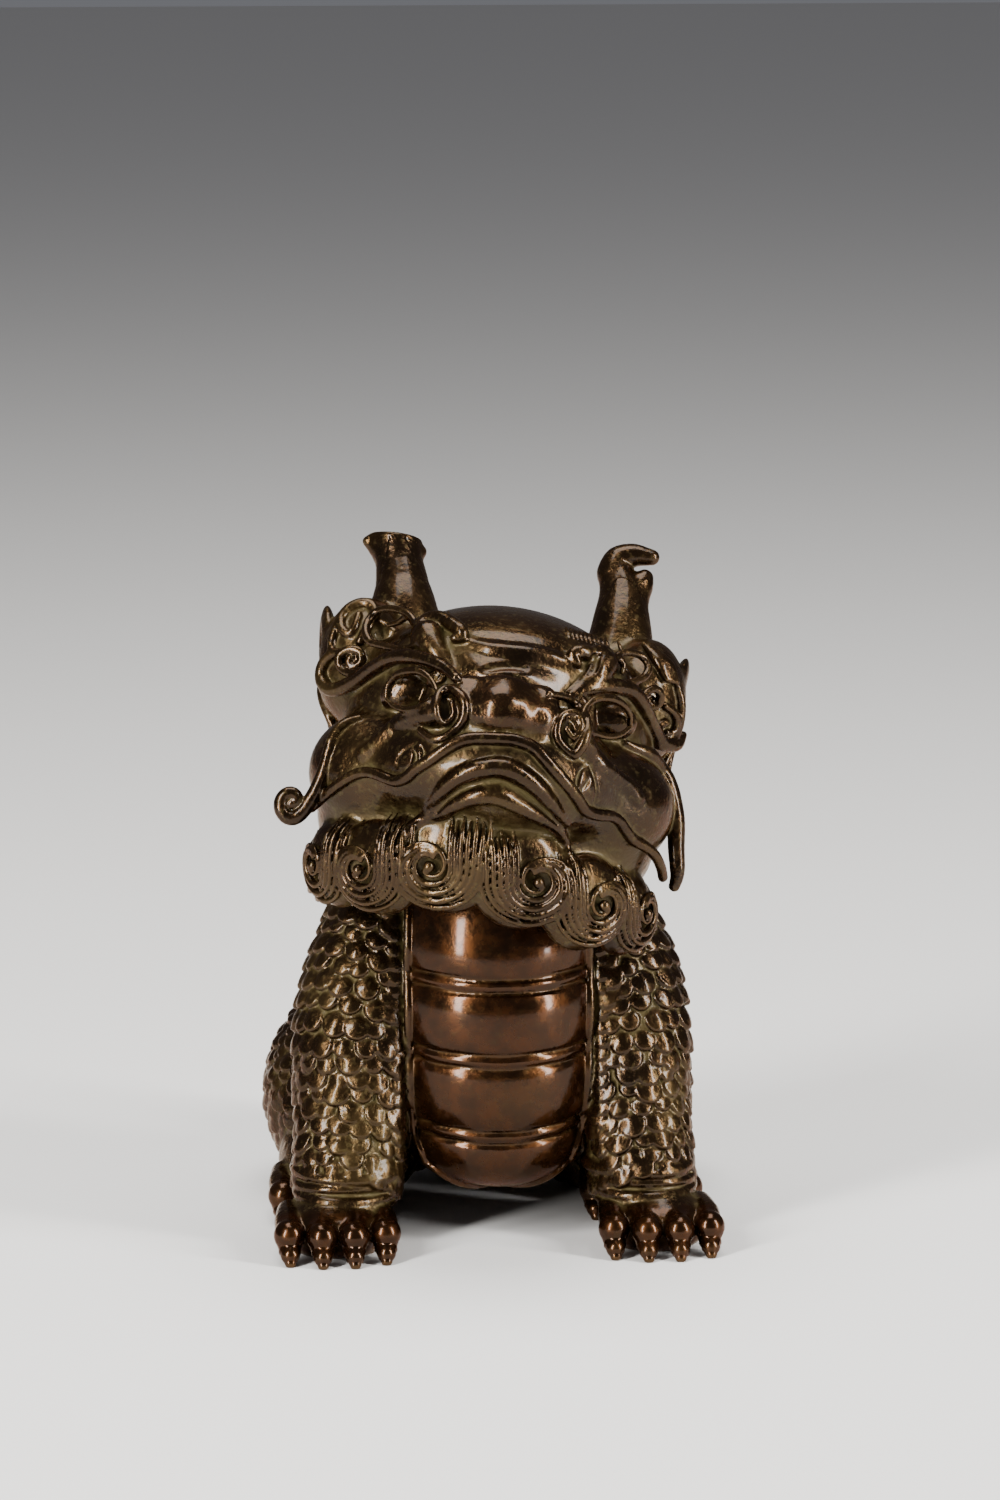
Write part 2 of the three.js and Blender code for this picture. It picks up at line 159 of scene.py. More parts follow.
def turn_of(tilt):
    """The rotation of a tilt in degrees about X, Y and Z."""
    return np.array(Euler([math.radians(a) for a in tilt], "ZYX").to_matrix())


def smooth_path(points, spacing):
    """Closely spaced points on a Catmull-Rom curve through the given ones, and their place from 0 to 1."""
    points = np.array(points, float)
    ends = [2 * points[0] - points[1], *points, 2 * points[-1] - points[-2]]
    path = []
    where = []
    for i in range(len(points) - 1):
        a, b, c, d = ends[i : i + 4]
        count = max(2, int(np.linalg.norm(c - b) / spacing))
        for j in range(count):
            t = j / count
            bend = 2 * a - 5 * b + 4 * c - d
            twist = 3 * b - a - 3 * c + d
            path.append(0.5 * (2 * b + (c - a) * t + bend * t**2 + twist * t**3))
            where.append((i + t) / (len(points) - 1))
    path.append(points[-1])
    where.append(1.0)
    return np.array(path), np.array(where)


def along(values, where):
    """Values spread evenly from 0 to 1 and read at the given places."""
    values = np.atleast_1d(values)
    return np.interp(where, np.linspace(0, 1, len(values)), values)


class Clay:
    """A block of clay: a field of distances in mm on a grid, negative inside the form."""

    def __init__(self, low, high, voxel):
        self.low = np.array(low, float)
        self.voxel = voxel
        shape = np.ceil((np.array(high, float) - self.low) / voxel).astype(int) + 1
        self.field = np.full(shape, FAR, np.float32)

    def recast(self, field, voxel):
        """Clay that starts at the same corner, with another field."""
        clay = Clay(self.low, self.low, voxel)
        clay.field = field
        return clay

    def finer(self):
        """The same clay on a grid of half the spacing."""
        field = self.field
        for axis in range(3):
            rows = np.moveaxis(field, axis, 0)
            fine = np.empty((2 * rows.shape[0] - 1, *rows.shape[1:]), np.float32)
            fine[::2] = rows
            fine[1::2] = 0.5 * (rows[1:] + rows[:-1])
            field = np.moveaxis(fine, 0, axis)
        return self.recast(np.ascontiguousarray(field), self.voxel / 2)

    def window(self, low, high):
        """The slices of the grid between two corners, and the open mesh of their coordinates."""
        shape = np.array(self.field.shape)
        first = np.clip(np.floor((low - self.low) / self.voxel).astype(int), 0, shape)
        last = np.clip(np.ceil((high - self.low) / self.voxel).astype(int) + 1, 0, shape)
        slices = tuple(slice(a, b) for a, b in zip(first, last))
        axes = [self.low[k] + self.voxel * np.arange(first[k], last[k], dtype=np.float32) for k in range(3)]
        return slices, np.meshgrid(*axes, indexing="ij", sparse=True)

    def merge(self, slices, shape, blend, carve=False):
        """Adds a shape's distances to the clay, or carves the shape out of it."""
        block = self.field[slices]
        if block.size == 0:
            return
        if carve:
            block[...] = -smooth_min(-block, shape, blend)
        else:
            block[...] = smooth_min(block, shape, blend)

    def ball(self, centre, radii, blend=0.0, tilt=None, turn=None, carve=False):
        """An ellipsoid, turned by a tilt in degrees or by a rotation."""
        centre = np.array(centre, float)
        radii = np.broadcast_to(np.array(radii, float), 3)
        reach = radii.max() + blend + 3 * self.voxel + 0.6
        slices, (x, y, z) = self.window(centre - reach, centre + reach)
        x, y, z = x - centre[0], y - centre[1], z - centre[2]
        if tilt is not None:
            turn = turn_of(tilt)
        if turn is not None:
            x, y, z = (turn[0, k] * x + turn[1, k] * y + turn[2, k] * z for k in range(3))
        x, y, z = x / radii[0], y / radii[1], z / radii[2]
        level = np.sqrt(x * x + y * y + z * z)
        slope = np.sqrt((x / radii[0]) ** 2 + (y / radii[1]) ** 2 + (z / radii[2]) ** 2)
        shape = level * (level - 1) / np.maximum(slope, 1e-6)
        self.merge(slices, shape, blend, carve)

    def rope(self, points, radii, blend, carve=False):
        """A round bar along closely spaced points, with a radius at each."""
        points = np.array(points, float)
        radii = np.broadcast_to(np.array(radii, float), len(points))
        margin = blend + 2.5 * self.voxel + 0.3
        reach = radii.max() + margin
        slices, _ = self.window((points - reach).min(0), (points + reach).max(0))
        first = np.array([s.start for s in slices])
        shape = np.full([s.stop - s.start for s in slices], FAR, np.float32)
        if shape.size == 0:
            return
        for a, b, ra, rb in zip(points[:-1], points[1:], radii[:-1], radii[1:]):
            r = max(ra, rb) + margin
            part, (x, y, z) = self.window(np.minimum(a, b) - r, np.maximum(a, b) + r)
            part = tuple(slice(s.start - f, s.stop - f) for s, f in zip(part, first))
            x, y, z = x - a[0], y - a[1], z - a[2]
            step = b - a
            share = (x * step[0] + y * step[1] + z * step[2]) / max(step @ step, 1e-9)
            share = np.clip(share, 0, 1)
            x, y, z = x - share * step[0], y - share * step[1], z - share * step[2]
            distance = np.sqrt(x * x + y * y + z * z) - (ra + share * (rb - ra))
            block = shape[part]
            np.minimum(block, distance, out=block)
        self.merge(slices, shape, blend, carve)

    def limb(self, points, radii, blend=0.5, spacing=1.5):
        path, where = smooth_path(points, spacing)
        self.rope(path, along(radii, where), blend)

    def sample(self, points):
        """The field between grid points, read at any places."""
        shape = np.array(self.field.shape)
        q = np.clip((np.asarray(points) - self.low) / self.voxel, 0, shape - 1.001)
        i = q.astype(int)
        f = (q - i).astype(np.float32)
        total = 0
        for corner in np.ndindex(2, 2, 2):
            c = np.array(corner)
            weight = np.prod(np.where(c, f, 1 - f), axis=1)
            total = total + weight * self.field[i[:, 0] + c[0], i[:, 1] + c[1], i[:, 2] + c[2]]
        return total

    def normals(self, points):
        steps = np.eye(3) * self.voxel
        return units(np.stack([self.sample(points + s) - self.sample(points - s) for s in steps], axis=1))

    def enter(self, starts, ways):
        """Where rays from outside first meet the clay."""
        starts = np.asarray(starts, float)
        ways = np.broadcast_to(np.asarray(ways, float), starts.shape)
        gone = np.zeros(len(starts))
        for _ in range(RAY_STEPS):
            level = self.sample(starts + ways * gone[:, None])
            gone += np.where(gone < RAY_REACH, np.clip(level, -0.5, 0.9) * RAY_CAUTION, 0)
        return starts + ways * gone[:, None]

    def leave(self, starts, ways):
        """Where rays from inside first come out of the clay, and whether they do."""
        starts = np.broadcast_to(np.asarray(starts, float), ways.shape)
        gone = np.zeros(len(starts))
        out = np.zeros(len(starts), bool)
        for _ in range(int(INNER_REACH / INNER_STEP)):
            level = self.sample(starts + ways * gone[:, None])
            out |= level > 0
            gone += np.where(out, 0, INNER_STEP)
        for _ in range(4):
            level = self.sample(starts + ways * gone[:, None])
            gone -= np.clip(level, -INNER_STEP, INNER_STEP)
        return starts + ways * gone[:, None], out

    def blurred(self, radius, thin):
        """The field averaged over a cube of a half width in mm, on a grid thinned out by a factor."""
        n = max(1, int(round(radius / (self.voxel * thin))))
        field = self.field[::thin, ::thin, ::thin]
        for axis in range(3):
            rows = np.moveaxis(np.clip(field, -2, 2), axis, 0)
            total = np.zeros_like(rows)
            for shift in range(-n, n + 1):
                start, stop = max(0, shift), rows.shape[0] + min(0, shift)
                total[start - shift : stop - shift] += rows[start:stop]
            field = np.moveaxis(total / (2 * n + 1), 0, axis)
        return self.recast(field, self.voxel * thin)


def unit(vector):
    vector = np.asarray(vector, float)
    return vector / np.linalg.norm(vector)


def units(rows):
    """Each row as a direction one long."""
    return rows / np.maximum(np.linalg.norm(rows, axis=1, keepdims=True), 1e-6)


def facing(bearing, rise):
    """A direction turned from the front by a bearing and raised by an angle, both in degrees."""
    turn, slope = math.radians(bearing), math.radians(rise)
    return np.array([math.sin(turn) * math.cos(slope), -math.cos(turn) * math.cos(slope), math.sin(slope)])


# The way from the figure to the camera.
AWAY = facing(CAMERA_TURN, CAMERA_RISE)


class Patch:
    """A side of the clay, seen along one direction, on which ornament is laid out in mm."""

    scale = 1.0

    def __init__(self, clay, centre, out=(0, -1, 0), up=(0, 0, 1), skin=None):
        self.clay = clay
        self.skin = skin or clay
        self.centre = np.array(centre, float)
        self.out = unit(out)
        self.right = unit(np.cross(up, self.out))
        self.up = np.cross(self.out, self.right)

    def rays(self, places):
        starts = self.centre + places[:, :1] * self.right + places[:, 1:2] * self.up
        starts = starts + PATCH_START * self.out
        return starts, np.broadcast_to(-self.out, starts.shape)

    def at(self, places, lift=0.0, even=0):
        """Points on the skin under places across and up, raised along its normals and evened out."""
        starts, ways = self.rays(np.atleast_2d(np.asarray(places, float)))
        points = self.skin.enter(starts, ways)
        depth = steady(np.linalg.norm(points - starts, axis=1), STEEPEST)
        points = starts + eased(depth, even)[:, None] * ways
        normals = units(eased(self.skin.normals(points), even))
        return points + normals * np.broadcast_to(np.asarray(lift, float), len(points))[:, None]

    def rope(self, places, radii, lift, blend, carve=False):
        """A cord laid on the skin through the given places."""
        path, where = smooth_path(places, 0.45 * self.scale)
        self.clay.rope(self.at(path, along(lift, where), 6), along(radii, where), blend, carve)

    def pad(self, place, radii, sink, blend, carve=False, lean=0.0):
        """A cushion on the skin: radii across, out and up, its middle sunk below the skin."""
        point = self.at([place])[0] - sink * self.out
        tilt = math.radians(lean)
        right = math.cos(tilt) * self.right + math.sin(tilt) * self.up
        turn = np.stack([right, self.out, np.cross(self.out, -right)], axis=1)
        self.clay.ball(point, radii, blend, turn=turn, carve=carve)


class Lock(Patch):
    """A lock of hair round a place: strands fall on one side of a curl and wind into it."""

    turns = 1.4
    thick = 3.0
    lift = 0.3
    blend = 0.8
    strand_blend = 0.08

    def __init__(self, clay, centre, out, up, hand, inner, width, strands, drop, squash=1.2):
        super().__init__(clay, centre, out, up)
        self.hand, self.inner, self.width, self.strands = hand, inner, width, strands
        self.drop, self.squash = drop, squash

    def cushion(self, clay):
        """The body of the lock behind the patch's middle: a round for the curl and a bar for the fall."""
        turn = np.stack([self.right, self.out, self.up], axis=1)
        outer = self.inner + self.width
        middle = self.centre + self.hand * 0.22 * outer * self.right - self.thick * self.out
        clay.ball(middle, (0.84 * outer + 0.5, self.thick, 0.84 * outer + 0.6), self.blend, turn=turn)
        beside = self.hand * (self.inner + 0.5 * self.width)
        fall = self.centre + beside * self.right + 0.25 * self.drop * self.up
        fall = fall - (self.thick + 0.3) * self.out
        radii = (0.5 * self.width + 1.0, self.thick, 0.6 * self.drop + 1.0)
        clay.ball(fall, radii, 1.5 * self.blend, turn=turn)

    def comb(self):
        """The strands: every other one ends where the lock narrows into its curl."""
        self.pad((0, 0), (0.8 * self.inner, 0.8, 0.9 * self.inner), 0.0, 0.4, carve=True)
        turns, width, last = self.turns, self.width, self.strands - 1
        for k in range(self.strands):
            share = 1 - k / last
            end = turns if k == 0 else turns * (0.14 if k % 2 else 0.6)
            t = np.arange(0, end, 0.02)
            spread = width * (1 - 0.93 * t / turns) ** 1.6
            radius = self.inner * (1 - t / (1.3 * turns)) + share * spread
            x = self.hand * radius * np.cos(TURN * t)
            y = -self.squash * radius * np.sin(TURN * t)
            fall = np.arange(self.drop * (1 - 0.12 * (k % 2)), 0.2, -0.35)
            beside = self.hand * (self.inner + share * width * (1 + 0.012 * fall))
            places = np.concatenate([np.stack([beside, fall], axis=1), np.stack([x, y], axis=1)])
            crowd = 1 + smooth_step(0.1 * turns, 0.18 * turns, t)
            crowd = crowd + 2 * smooth_step(0.5 * turns, 0.65 * turns, t)
            pitch = np.concatenate([np.full(len(fall), width / last), spread / last * crowd])
            rise = np.concatenate([np.ones(len(fall)), spread / width]) * 0.4 * (1 - (2 * share - 1) ** 2)
            rise += self.lift + np.concatenate([np.zeros(len(fall)), 0.35 * t / turns])
            order = np.arange(len(pitch))
            root = smooth_step(0, 8, order)
            taper = np.minimum(root, smooth_step(0, 5, order[::-1])) if k % 2 else root
            radii = np.clip(0.5 * pitch, 0.3, 0.52) * (0.4 + 0.6 * taper)
            self.clay.rope(self.at(places, rise - 0.4 * (1 - root), 10), radii, self.strand_blend)
        self.pad((0, 0), (0.85, 0.85, 0.85), -0.3, 0.2)


class Sight(Patch):
    """The clay as the photograph sees it: ornament is laid out in pixels of the picture."""

    focal = CAMERA_LENS * PICTURE[1] / FILM
    scale = focal / CAMERA_DISTANCE

    def __init__(self, clay, turn, place, skin=None):
        """The clay's frame is turned and then moved to the part's frame."""
        super().__init__(clay, (0, 0, 0), turn.T @ AWAY, turn.T @ (0, 0, 1), skin)
        self.eye = turn.T @ (CAMERA_TARGET + CAMERA_DISTANCE * AWAY - place)

    def rays(self, places):
        across = (places[:, :1] - PICTURE[0] / 2) / self.focal
        upward = (PICTURE[1] / 2 - places[:, 1:2]) / self.focal
        ways = units(across * self.right + upward * self.up - self.out)
        return self.eye + ways * (self.eye @ self.out - SIGHT_START), ways


def steady(depth, step):
    """Depths along a path that never fall off behind the form's edge by more than a step a place."""
    ramp = step * np.arange(len(depth))
    onward = np.minimum.accumulate(depth - ramp) + ramp
    return (np.minimum.accumulate(onward[::-1] - ramp) + ramp)[::-1]


def eased(values, times):
    """Values along a path with their small kinks smoothed."""
    out = np.array(values, float)
    for _ in range(times):
        out[1:-1] = 0.5 * out[1:-1] + 0.25 * (out[:-2] + out[2:])
    return out


def spiral(centre, radius, hand):
    """Places along a flattened spiral that winds inward from its lowest place."""
    share = np.linspace(0, 1, 14)
    angle = TURN * (0.25 + hand * CURL_TURNS * share)
    r = radius * (1 - 0.8 * share)
    return np.stack([centre[0] + r * np.cos(angle), centre[1] + CURL_SQUASH * r * np.sin(angle)], axis=1)


def lay_scale(clay, place, out, down, size):
    """One scale: a pillowy tongue that lifts towards its tip, with a raised rim."""
    half, length = SCALE_HALF_WIDTH * size, SCALE_LENGTH * size
    across = np.cross(out, down)
    reach = SCALE_REACH * size + 0.4
    slices, (x, y, z) = clay.window(place - reach, place + reach)
    x, y, z = x - place[0], y - place[1], z - place[2]
    u, v, w = (x * a[0] + y * a[1] + z * a[2] for a in (across, down, out))
    edge = np.sqrt((u / half) ** 2 + (v / length) ** 2)
    rise = SCALE_LIFT + SCALE_TIP_LIFT * v / length
    rim = RIM_HEIGHT * np.exp(-(((edge - RIM_PLACE) / RIM_WIDTH) ** 2)) * smooth_step(-0.9, 0.3, v)
    pillow = SCALE_PILLOW * np.maximum(1 - (u / half) ** 2, 0) * np.maximum(1 - edge * edge, 0)
    top = w - (rise + rim + pillow) * size
    shape = -smooth_min(-(edge - 1) * half * 0.8, -top, 0.4)
    shape = np.maximum(shape, -w - 1.2)
    clay.merge(slices, shape, 0.08)


def ring_ways(axis, slope, angles):
    """Directions round an axis, leaning along it by a slope."""
    across = np.cross(axis, (0.0, 1.0, 0.0) if abs(axis[1]) < 0.9 else (0.0, 0.0, 1.0))
    across = unit(across)
    upward = np.cross(axis, across)
    return units(np.cos(angles)[:, None] * across + np.sin(angles)[:, None] * upward + slope * axis)


def scale_coat(clay, skin, rings, keep):
    """Staggered rows of scales, one for each ring: a centre, the way the scales point, and a lean."""
    for row, (centre, axis, slope) in enumerate(rings):
        axis = unit(axis)
        probe = ring_ways(axis, slope, np.linspace(0, TURN, 24, endpoint=False))
        ring, _ = skin.leave(centre, probe)
        girth = np.linalg.norm(ring - np.roll(ring, 1, axis=0), axis=1).sum()
        count = max(6, int(round(girth / SCALE_PITCH)))
        angles = np.arange(count) + 0.5 * (row % 2) + rng.uniform(-SCALE_SLIDE, SCALE_SLIDE, count)
        ways = ring_ways(axis, slope, angles * TURN / count)
        places, found = skin.leave(centre, ways)
        normals = skin.normals(places)
        good = found & keep(places)
        for place, normal in zip(places[good], normals[good]):
            down = axis - normal * (axis @ normal)
            if np.linalg.norm(down) < LEAST_SLOPE:
                continue
            down = unit(down)
            down = unit(down + rng.uniform(-SCALE_TWIST, SCALE_TWIST) * np.cross(normal, down))
            place = place + rng.uniform(-SCALE_SLIP, SCALE_SLIP) * down
            lay_scale(clay, place, normal, down, rng.uniform(*SCALE_SIZES))


def polar_rings(centre, axis, radius, first, last):
    """Rings of rays from one place, from the pole that the scales point away from."""
    step = SCALE_ROW / radius
    angles = np.arange(math.radians(first), math.radians(last), step)
    return [(centre, axis, -math.cos(a) / math.sin(a)) for a in angles]


def path_rings(points, first, last):
    """Rings across a limb's axis, between two places along it from 0 to 1."""
    path, where = smooth_path(points, SCALE_ROW)
    slope = np.gradient(path, axis=0)
    return [(p, s, 0.0) for p, s, w in zip(path, slope, where) if first <= w <= last]


# The body in its own frame: the floor is z = 0 and the beast looks along -Y.
BODY_LOW = (-34, -36, -2)
BODY_HIGH = (34, 53, 66)
LEG_SPREADS = {-1: (LEG_SPREAD - 1.6, LEG_SPREAD - 0.4, LEG_SPREAD + 1.4, LEG_SPREAD + 2.6),
               1: (LEG_SPREAD - 1.5, LEG_SPREAD - 0.8, LEG_SPREAD + 0.3, LEG_SPREAD + 1.4)}
SHOULDER = {side: [
    (side * 7, 3, 55), (side * 12.6, -1.5, 46), (side * LEG_SPREADS[side][0], -6, 32),
    (side * LEG_SPREADS[side][1], -9, 20), (side * LEG_SPREADS[side][2], -13, 9),
    (side * LEG_SPREADS[side][3], -15.6, 3),
] for side in SIDES}
LEG_RADII = {-1: (8, 9.2, 9.2, 9.0, 8.0, 7.0, 6.6), 1: (8, 9.0, 8.8, 8.2, 7.6, 6.9, 6.6)}
PAW_SHIFT = -0.7
HAUNCH = {side: ((side * 17.6, 20.5, 14.5), (13.0, 16.6, 14.2), (24, -side * 12, 0)) for side in SIDES}


def belly_shape(x, y, z):
    """Distances from the plated belly: a barrel with sagging double-edged bands."""
    height = BELLY_TOP - BELLY_UNDERSIDE
    u = x / (BELLY_WIDTH / 2)
    v = (y - BELLY_FRONT) / BELLY_BULGE - 1
    front = np.maximum(0, -v)
    share = np.clip((z - BELLY_UNDERSIDE) / height, 0, 1)
    level = z - 1.4 + BAND_SAG * front * (1 - share)
    t = np.clip((level - BELLY_UNDERSIDE) / height, 0, 1)
    girth = 0.45 + 0.55 * np.sqrt(1 - (1.7 * t - 0.85) ** 2)
    shape = (np.sqrt(u * u + v * v) - girth) * (BELLY_WIDTH / 2)
    for band in BAND_HEIGHTS:
        off = np.abs(level - band)
        groove = GROOVE_DEPTH * np.exp(-(((off - GROOVE_PLACE) / GROOVE_WIDTH) ** 2))
        shape += groove - CORD_HEIGHT * np.exp(-((off / CORD_WIDTH) ** 2))
        shape += HOLLOW_DEPTH * np.exp(-((off / HOLLOW_WIDTH) ** 2))
    under = BELLY_UNDERSIDE - level
    return -smooth_min(-shape, -under, 5.0)


def toe_places(side, middle, tip):
    """Where each toe of a paw comes to the front, and how far it is from the paw's middle."""
    for toe in range(TOES):
        place = toe - (TOES - 1) / 2
        yield side * middle + PAW_SHIFT + place * PAW_BREADTH * 0.59, tip + 4.4 + 0.8 * place * place, place


def add_toes(clay, side, middle, tip):
    """A low paw with a round knuckle for each toe."""
    heel = tip + 12.0
    clay.ball((side * middle + PAW_SHIFT, heel, 3.4), (PAW_BREADTH, 8, 4.6), 1.5)
    for x, y, place in toe_places(side, middle, tip):
        clay.limb([(x - 0.25 * place, y + 7.5, 5.2), (x, y + 3, 4.8), (x, y, 4.0)], (1.7, 1.9, 1.9), 0.5)
        clay.ball((x, y - 0.9, 3.9), (TOE_RADIUS * 0.94, 2.4, 2.3), 0.2)


# The cuff of skin over a claw: places across it, forward and up.
CUFF = ((-1.35, 1.9, 1.6), (-1.2, 2.6, 2.2), (0, 2.95, 2.6), (1.2, 2.6, 2.2), (1.35, 1.9, 1.6))


def add_claws(clay, side, middle, tip):
    """A short rounded claw under each toe, with a cuff of skin."""
    for x, y, _ in toe_places(side, middle, tip):
        clay.rope([(x, y - 1.2, 2.5), (x, y - 2.8, 1.5), (x, y - 3.5, 0.5)], (1.7, 1.35, 0.8), 0.12)
        cuff, _ = smooth_path([(x + a, y - b, c) for a, b, c in CUFF], 0.4)
        clay.rope(cuff, 0.26, 0.2)


# Folds round the ankle: height, thickness and how far each one waves.
ANKLE_FOLDS = ((10.6, 0.9, 0.5), (9.0, 0.65, -0.5), (7.6, 0.8, 0.4), (6.3, 0.55, -0.6))


def add_wrinkles(clay, skin, side):
    """Rings of loose skin round the ankle, under the hem where the scales end."""
    for z, radius, turn in ANKLE_FOLDS:
        angles = np.linspace(0, TURN, 40)
        ways = np.stack([np.cos(angles), np.sin(angles), 0.06 * turn * np.cos(angles * 2)], axis=1)
        ring, _ = skin.leave((side * LEG_SPREADS[side][2], -12.6, z), ways)
        clay.rope(ring, radius + 0.14 * np.sin(3 * angles + z), 0.3)


def add_tail(clay):
    """A bushy tail that curls up on the rump, with a curled lock on each side."""
    stem = [(0, 38, 8), (0, 45, 14), (0, 44, 24), (0, 38, 32), (0, 37, 41)]
    locks = [(stem, (4.0, 5.0, 4.8, 3.6, 0.8), 12)]
    for side in SIDES:
        lock = [
            (side * 1.5, 44, 8), (side * 8, 43, 17), (side * 10.4, 40.6, 24),
            (side * 7.6, 40.4, 28.4), (side * 4.8, 42, 25.6), (side * 6.6, 42.8, 22),
        ]
        locks.append((lock, (2.6, 3.2, 2.8, 2.4, 1.8, 1.0), 9))
    for points, radii, strands in locks:
        path, where = smooth_path(points, 0.7)
        girth = along(radii, where)
        clay.rope(path, girth, 0.8)
        tangents = units(np.gradient(path, axis=0))
        across = units(np.cross(tangents, (1.0, 0.0, 0.12)))
        upward = np.cross(tangents, across)
        for k in range(strands):
            angle = TURN * k / strands + 0.5 * where
            ring = np.cos(angle)[:, None] * across + np.sin(angle)[:, None] * upward
            clay.rope(path + ring * girth[:, None], 0.28 + 0.16 * girth, 0.15)


# The row of flames down the spine: their number, the first one's place, their spacing and lean.
FLAMES = 13
FLAME_TOP = 19
FLAME_STEP = 2.6
FLAME_LEAN = 40


def add_spine(clay, skin):
    """A row of flames down the spine, each with a smaller one on both sides."""
    spine = Patch(clay, (0, 10, 24), facing(180, FLAME_LEAN), skin=skin)
    for i in range(FLAMES):
        up = FLAME_TOP - FLAME_STEP * i
        place = spine.at([(0, up)], 0.4)[0]
        clay.ball(place, (1.1, 1.9, 2.9), 0.4, tilt=(FLAME_LEAN, 0, 0))
        for side in SIDES:
            flank = spine.at([(side * 1.9, up - 1.2)], 0.1)[0]
            clay.ball(flank, (0.8, 1.3, 2.3), 0.3, tilt=(FLAME_LEAN, 0, 0))


def add_plate_edges(clay, skin):
    """A rope round the plated belly, and a column of narrow scales along each side of it."""
    front = Patch(clay, (0, 0, 0), skin=skin)
    for side in SIDES:
        edge = [(side * 11.8, 56), (side * PLATE_HALF_WIDTH, 44), (side * PLATE_HALF_WIDTH, 28),
                (side * 12.0, 17), (side * 10.2, 11.5)]
        front.rope(edge, (0.55, 0.6, 0.6, 0.5, 0.4), 0.25, 0.2)
        way = np.array([side * FEATHER_LEAN, 0, -1])
        for height in np.arange(FEATHER_TOP, FEATHER_FOOT, -FEATHER_STEP):
            place = front.at([(side * (PLATE_HALF_WIDTH + FEATHER_STEP), height)])
            normal = skin.normals(place)[0]
            down = way - normal * (normal @ way)
            lay_scale(clay, place[0] + 0.25 * normal, normal, unit(down), rng.uniform(*FEATHER_SIZES))
    rim = [(-10.2, 11.5), (-6, 8.8), (0, 7.6), (6, 8.8), (10.2, 11.5)]
    front.rope(rim, (0.4, 0.5, 0.5, 0.4), 0.15, 0.3)


def build_body():
    coarse = 2 * VOXEL
    trunk = Clay(BODY_LOW, BODY_HIGH, coarse)
    trunk.ball((0, 11, 33), (19.5, 16.5, 26), 0, tilt=(38, 0, 0))
    trunk.ball((0, 27, 17), (17, 16, 17.5), 3)
    trunk.ball((0, 0, 54), (17.5, 15, 14), 4)
    haunches = {}
    legs = {}
    for side in SIDES:
        haunches[side] = Clay(BODY_LOW, BODY_HIGH, coarse)
        centre, radii, tilt = HAUNCH[side]
        haunches[side].ball(centre, radii, 0, tilt=tilt)
        legs[side] = Clay(BODY_LOW, BODY_HIGH, coarse)
        legs[side].limb(SHOULDER[side], LEG_RADII[side])
    body = trunk.recast(trunk.field, coarse)
    for side in SIDES:
        body.field = smooth_min(body.field, haunches[side].field, 1.6)
    slices, grid = body.window(np.array((-22.0, -28, 0)), np.array((22.0, 20, 60)))
    body.merge(slices, belly_shape(*grid), 0.8)
    for side in SIDES:
        body.field = smooth_min(body.field, legs[side].field, 0.8)
        body.limb([(side * 21, 26, 5.5), (side * 23, 12, 6), (side * 22.4, 0, 5)], (6.4, 6.8, 5.4), 1.5)
    skin = body.recast(body.field.copy(), coarse)
    for side in SIDES:
        add_toes(body, side, PAW_SPREAD, FOREPAW_TIP)
        add_toes(body, side, HINDPAW_SPREAD, HINDPAW_TIP)

    clay = body.finer()
    for side in SIDES:
        add_claws(clay, side, PAW_SPREAD, FOREPAW_TIP)
        add_claws(clay, side, HINDPAW_SPREAD, HINDPAW_TIP)
        add_wrinkles(clay, skin, side)

    def on_skin(places):
        return np.abs(skin.sample(places)) < SKIN_REACH

    def beside_plates(places):
        x, y, z = places.T
        return on_skin(places) & ~((np.abs(x) < PLATE_HALF_WIDTH + 0.6) & (y < -2))

    for side in SIDES:
        rings = path_rings(SHOULDER[side], 0.02, 0.86)
        scale_coat(clay, legs[side], rings, beside_plates)
        centre = HAUNCH[side][0]
        rings = polar_rings(centre, (side * 0.1, 0.45, -1.0), 14.5, 14, 150)
        scale_coat(clay, haunches[side], rings, on_skin)
    rings = polar_rings((0, 12, 27), (0, 0.62, -0.78), 22, 20, 150)
    scale_coat(clay, trunk, rings, beside_plates)

    add_plate_edges(clay, skin)
    add_spine(clay, skin)
    add_tail(clay)
    floor = clay.low[2] + clay.voxel * np.arange(clay.field.shape[2], dtype=np.float32)
    clay.field = np.maximum(clay.field, -floor)
    return clay


# The head in its own frame.
HEAD_LOW = (-31, -38, -32)
HEAD_HIGH = (31, 26, 38)
HEAD_POSE = np.array(
    Euler((math.radians(-HEAD_LIFT), math.radians(HEAD_LEAN), math.radians(HEAD_TURN)), "XYZ").to_matrix()
)
# How far the wings of the nose stand to each side, and the corners of its boxy front.
WINGS = (-7.9, 8.6)
NOSE_CORNERS = (-5.3, 4.9)


